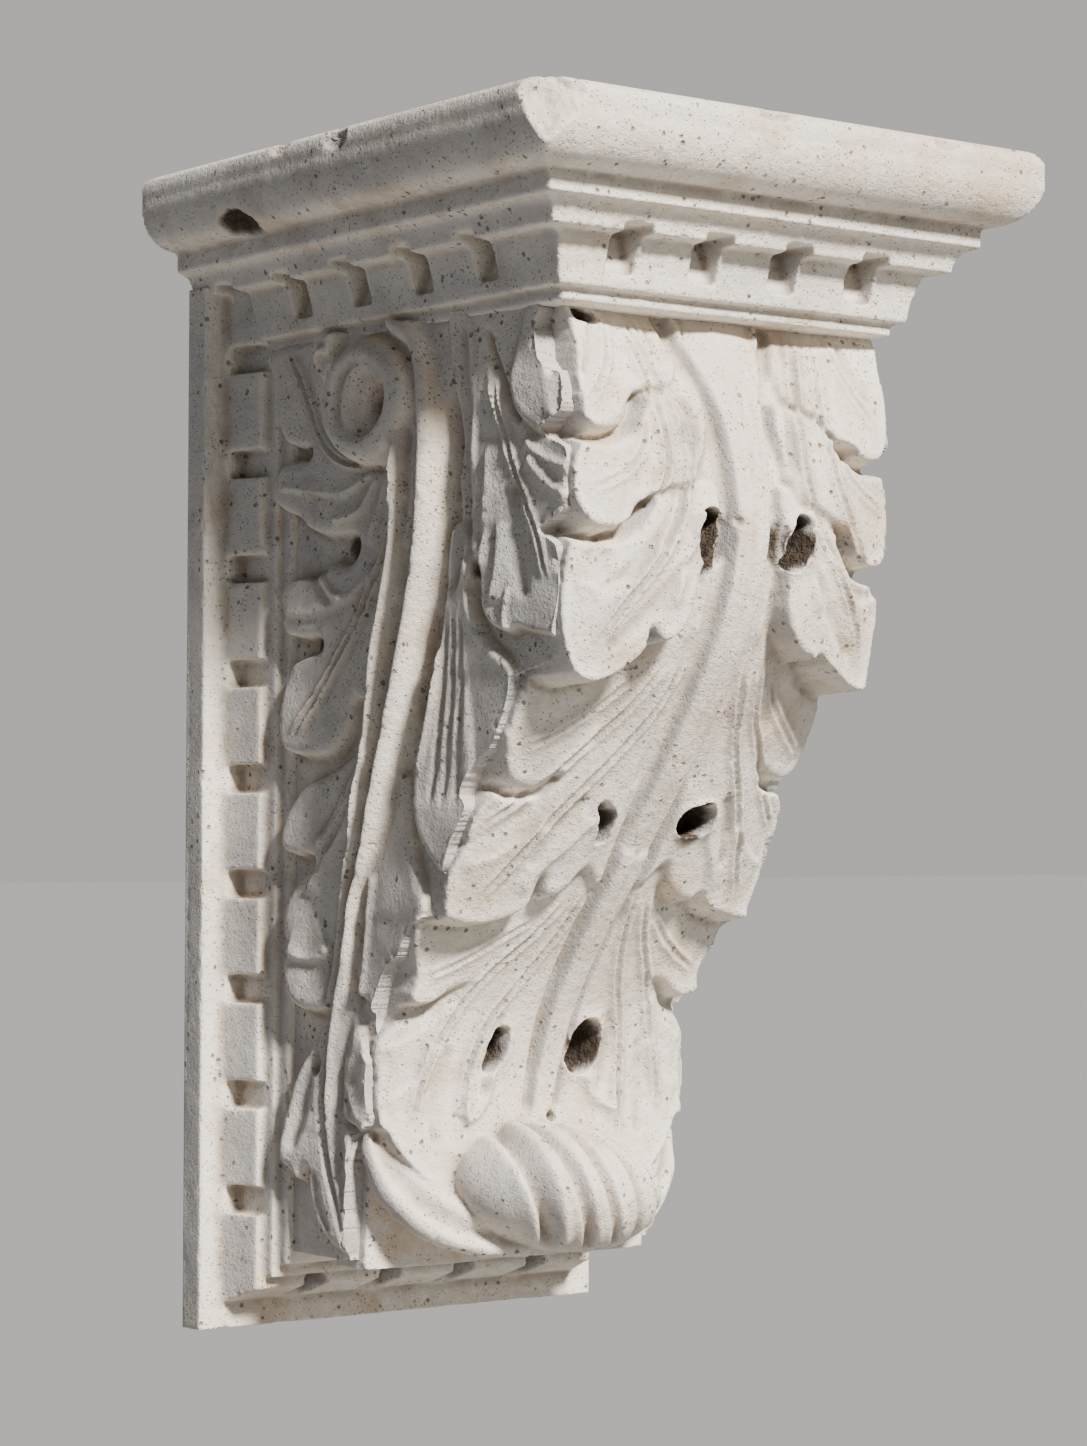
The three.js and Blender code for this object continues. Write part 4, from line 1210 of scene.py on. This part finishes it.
def stone_material():
    material = bpy.data.materials.new("worn_white_stone")
    material.use_nodes = True
    tree = material.node_tree
    tree.nodes.clear()
    where = add_node(tree, "ShaderNodeTexCoord")["Object"]

    def noise(scale, detail=4.0, rough=0.55, shift=0.0):
        spot = where
        if shift:
            spot = add_node(tree, "ShaderNodeMapping", None, Vector=where,
                            Location=(shift, shift * 0.7, -shift))["Vector"]
        return add_node(tree, "ShaderNodeTexNoise", None, Vector=spot, Scale=scale, Detail=detail,
                        Roughness=rough)["Fac"]

    def cells(scale):
        return add_node(tree, "ShaderNodeTexVoronoi", {"feature": "F1"}, Vector=where, Scale=scale,
                        Randomness=1.0)["Distance"]

    def kept(name):
        return add_node(tree, "ShaderNodeAttribute", {"attribute_name": name})["Fac"]

    broad = noise(7.0, 4.0)
    patch = noise(26.0, 6.0, 0.62, 3.1)
    bloom = noise(55.0, 5.0, 0.65, 7.7)
    speck = noise(520.0, 3.0, 0.72)
    grain = noise(1500.0, 2.0, 0.6)
    coarse = noise(190.0, 4.0, 0.7, 1.3)
    pitted = ramp(tree, noise(48.0, 3.0, 0.6, 5.5), 0.50, 0.58)
    pits = ramp(tree, cells(150.0) + speck * 0.45, 0.42, 0.30) * pitted
    dotted = ramp(tree, noise(80.0, 3.0, 0.6, 9.1), 0.44, 0.54)
    dots = ramp(tree, cells(420.0) + speck * 0.4, 0.44, 0.30) * dotted
    cavity = kept("cavity")
    crest = kept("crest")
    hole = kept("hole")
    stain = kept("stain")
    soot = kept("soot")

    white = (0.76, 0.69, 0.585, 1)
    pale = (0.84, 0.795, 0.715, 1)
    grey = (0.43, 0.42, 0.41, 1)
    beige = (0.57, 0.43, 0.29, 1)
    brown = (0.205, 0.145, 0.095, 1)
    grain_brown = (0.33, 0.28, 0.22, 1)
    rubbed = (0.78, 0.76, 0.72, 1)
    rust = (0.60, 0.44, 0.30, 1)
    painted_side_grey = (0.27, 0.28, 0.31, 1)
    dirt = (0.235, 0.18, 0.125, 1)
    shade = (0.30, 0.26, 0.22, 1)
    hole_brown = (0.060, 0.042, 0.028, 1)
    colour = blend_colour(tree, ramp(tree, coarse, 0.35, 0.65), white, pale)
    colour = blend_colour(tree, ramp(tree, broad, 0.48, 0.72) * 0.42, colour, grey)
    colour = blend_colour(tree, ramp(tree, patch, 0.50, 0.70) * 0.62, colour, beige)
    colour = blend_colour(tree, ramp(tree, speck, 0.50, 0.75) * 0.22, colour, grain_brown)
    colour = blend_colour(tree, crest * ramp(tree, bloom, 0.35, 0.65) * 0.5, colour, rubbed)
    colour = blend_colour(tree, stain * ramp(tree, broad * 0.5 + bloom * 0.5, 0.40, 0.62) * 0.55, colour,
                          rust)
    # painted shade: faces that look sideways greyed, as a shaded side would be
    colour = blend_colour(tree, soot * (patch * 0.5 + coarse * 0.5) * 1.25, colour, painted_side_grey)
    grime = cavity * ramp(tree, bloom, 0.25, 0.60)
    colour = blend_colour(tree, grime * 0.85, colour, dirt)
    # painted shade: every hollow darkened by the same amount, on top of the dirt
    colour = blend_colour(tree, cavity * 0.35, colour, shade)
    colour = blend_colour(tree, dots * 0.5, colour, brown)
    colour = blend_colour(tree, pits * 0.7, colour, brown)
    # near-black in the eyes and chips; in the volute's throat it is painted shade
    colour = blend_colour(tree, hole * (coarse * 0.3 + 0.82), colour, hole_brown)
    height = speck * 0.5 + grain * 0.22 + coarse * 0.9 + patch * 0.5
    height = height - pits * 2.2 - dots * 0.8 + hole * coarse * 3.0
    bump = add_node(tree, "ShaderNodeBump", None, Strength=0.9, Distance=0.0015, Height=height)["Normal"]
    shader = tree.nodes.new("ShaderNodeBsdfPrincipled")
    shader.inputs["Specular IOR Level"].default_value = 0.3
    tree.links.new(colour.out, shader.inputs["Base Color"])
    rough = 0.80 + patch * 0.16
    tree.links.new(rough.out, shader.inputs["Roughness"])
    tree.links.new(bump.out, shader.inputs["Normal"])
    out = tree.nodes.new("ShaderNodeOutputMaterial")
    tree.links.new(shader.outputs[0], out.inputs["Surface"])
    return material


stone = stone_material()
for piece in parts:
    piece.data.materials.clear()
    piece.data.materials.append(stone)
    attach(piece, "root")
    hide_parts("corbel")

# Floor, light and camera
FLOOR_LEVEL = -0.62
FLOOR_GREY = (0.25, 0.255, 0.265, 1)
SKY_BLUE = (0.72, 0.84, 1.0, 1)
SKY_STRENGTH = 0.075
BACKDROP = (0.93, 0.91, 0.88, 1)
BACKDROP_STRENGTH = 0.55
SUN_POWER = 11.4
SUN_DIRECTION = (0.13, 2.0, -1.45)

deselect()
bpy.ops.mesh.primitive_plane_add(size=60.0, location=(0, -1.0, FLOOR_LEVEL))
floor = bpy.context.object
floor.name = "floor"
floor_material = bpy.data.materials.new("pale_floor")
floor_material.use_nodes = True
floor_shader = floor_material.node_tree.nodes["Principled BSDF"]
floor_shader.inputs["Base Color"].default_value = FLOOR_GREY
floor_shader.inputs["Roughness"].default_value = 0.9
floor.data.materials.append(floor_material)

world = bpy.data.worlds.new("pale")
world.use_nodes = True
sky = world.node_tree.nodes["Background"]
sky.inputs[0].default_value = SKY_BLUE
sky.inputs[1].default_value = SKY_STRENGTH
seen = world.node_tree.nodes.new("ShaderNodeBackground")
seen.inputs[0].default_value = BACKDROP
seen.inputs[1].default_value = BACKDROP_STRENGTH
rays = world.node_tree.nodes.new("ShaderNodeLightPath")
both = world.node_tree.nodes.new("ShaderNodeMixShader")
world.node_tree.links.new(rays.outputs["Is Camera Ray"], both.inputs[0])
world.node_tree.links.new(sky.outputs[0], both.inputs[1])
world.node_tree.links.new(seen.outputs[0], both.inputs[2])
world.node_tree.links.new(both.outputs[0], world.node_tree.nodes["World Output"].inputs["Surface"])
bpy.context.scene.world = world


def direction_to_euler(direction):
    return Vector(direction).to_track_quat("-Z", "Y").to_euler()


def area_light(name, at, target, size, power, colour):
    data = bpy.data.lights.new(name, "AREA")
    data.energy = power
    data.size = size
    data.color = colour
    lamp = bpy.data.objects.new(name, data)
    bpy.context.collection.objects.link(lamp)
    lamp.location = at
    lamp.rotation_euler = direction_to_euler(np.array(target, float) - np.array(at, float))


sun = bpy.data.lights.new("key", "SUN")
sun.energy = SUN_POWER
sun.angle = math.radians(9)
sun.color = (1.0, 0.945, 0.87)
key = bpy.data.objects.new("key", sun)
bpy.context.collection.objects.link(key)
key.rotation_euler = direction_to_euler(SUN_DIRECTION)
area_light("fill", (-2.4, -0.9, 1.7), (0, -0.15, 0), 1.2, 1.0, (0.74, 0.85, 1.0))

CAMERA_AT = (-1.13381, -1.62403, -0.03529)
CAMERA_YAW = math.radians(37.398)
CAMERA_PITCH = math.radians(1.608)
CAMERA_ROLL = math.radians(0.2147)
FOCAL_PIXELS = 3605.3
PHOTO_WIDTH = 1087.0
SENSOR = 36.0

forward = np.array([math.sin(CAMERA_YAW) * math.cos(CAMERA_PITCH),
                    math.cos(CAMERA_YAW) * math.cos(CAMERA_PITCH),
                    math.sin(CAMERA_PITCH)])
right = np.array([math.cos(CAMERA_YAW), -math.sin(CAMERA_YAW), 0.0])
up = np.cross(right, forward)
right_rolled = math.cos(CAMERA_ROLL) * right + math.sin(CAMERA_ROLL) * up
up_rolled = -math.sin(CAMERA_ROLL) * right + math.cos(CAMERA_ROLL) * up
camera_data = bpy.data.cameras.new("camera")
camera = bpy.data.objects.new("camera", camera_data)
bpy.context.collection.objects.link(camera)
turn = np.eye(4)
turn[:3, 0] = right_rolled
turn[:3, 1] = up_rolled
turn[:3, 2] = -forward
turn[:3, 3] = CAMERA_AT
camera.matrix_world = Matrix(turn.tolist())
camera_data.sensor_fit = "HORIZONTAL"
camera_data.sensor_width = SENSOR
camera_data.lens = FOCAL_PIXELS / PHOTO_WIDTH * SENSOR
camera_data.clip_end = 50
bpy.context.scene.camera = camera
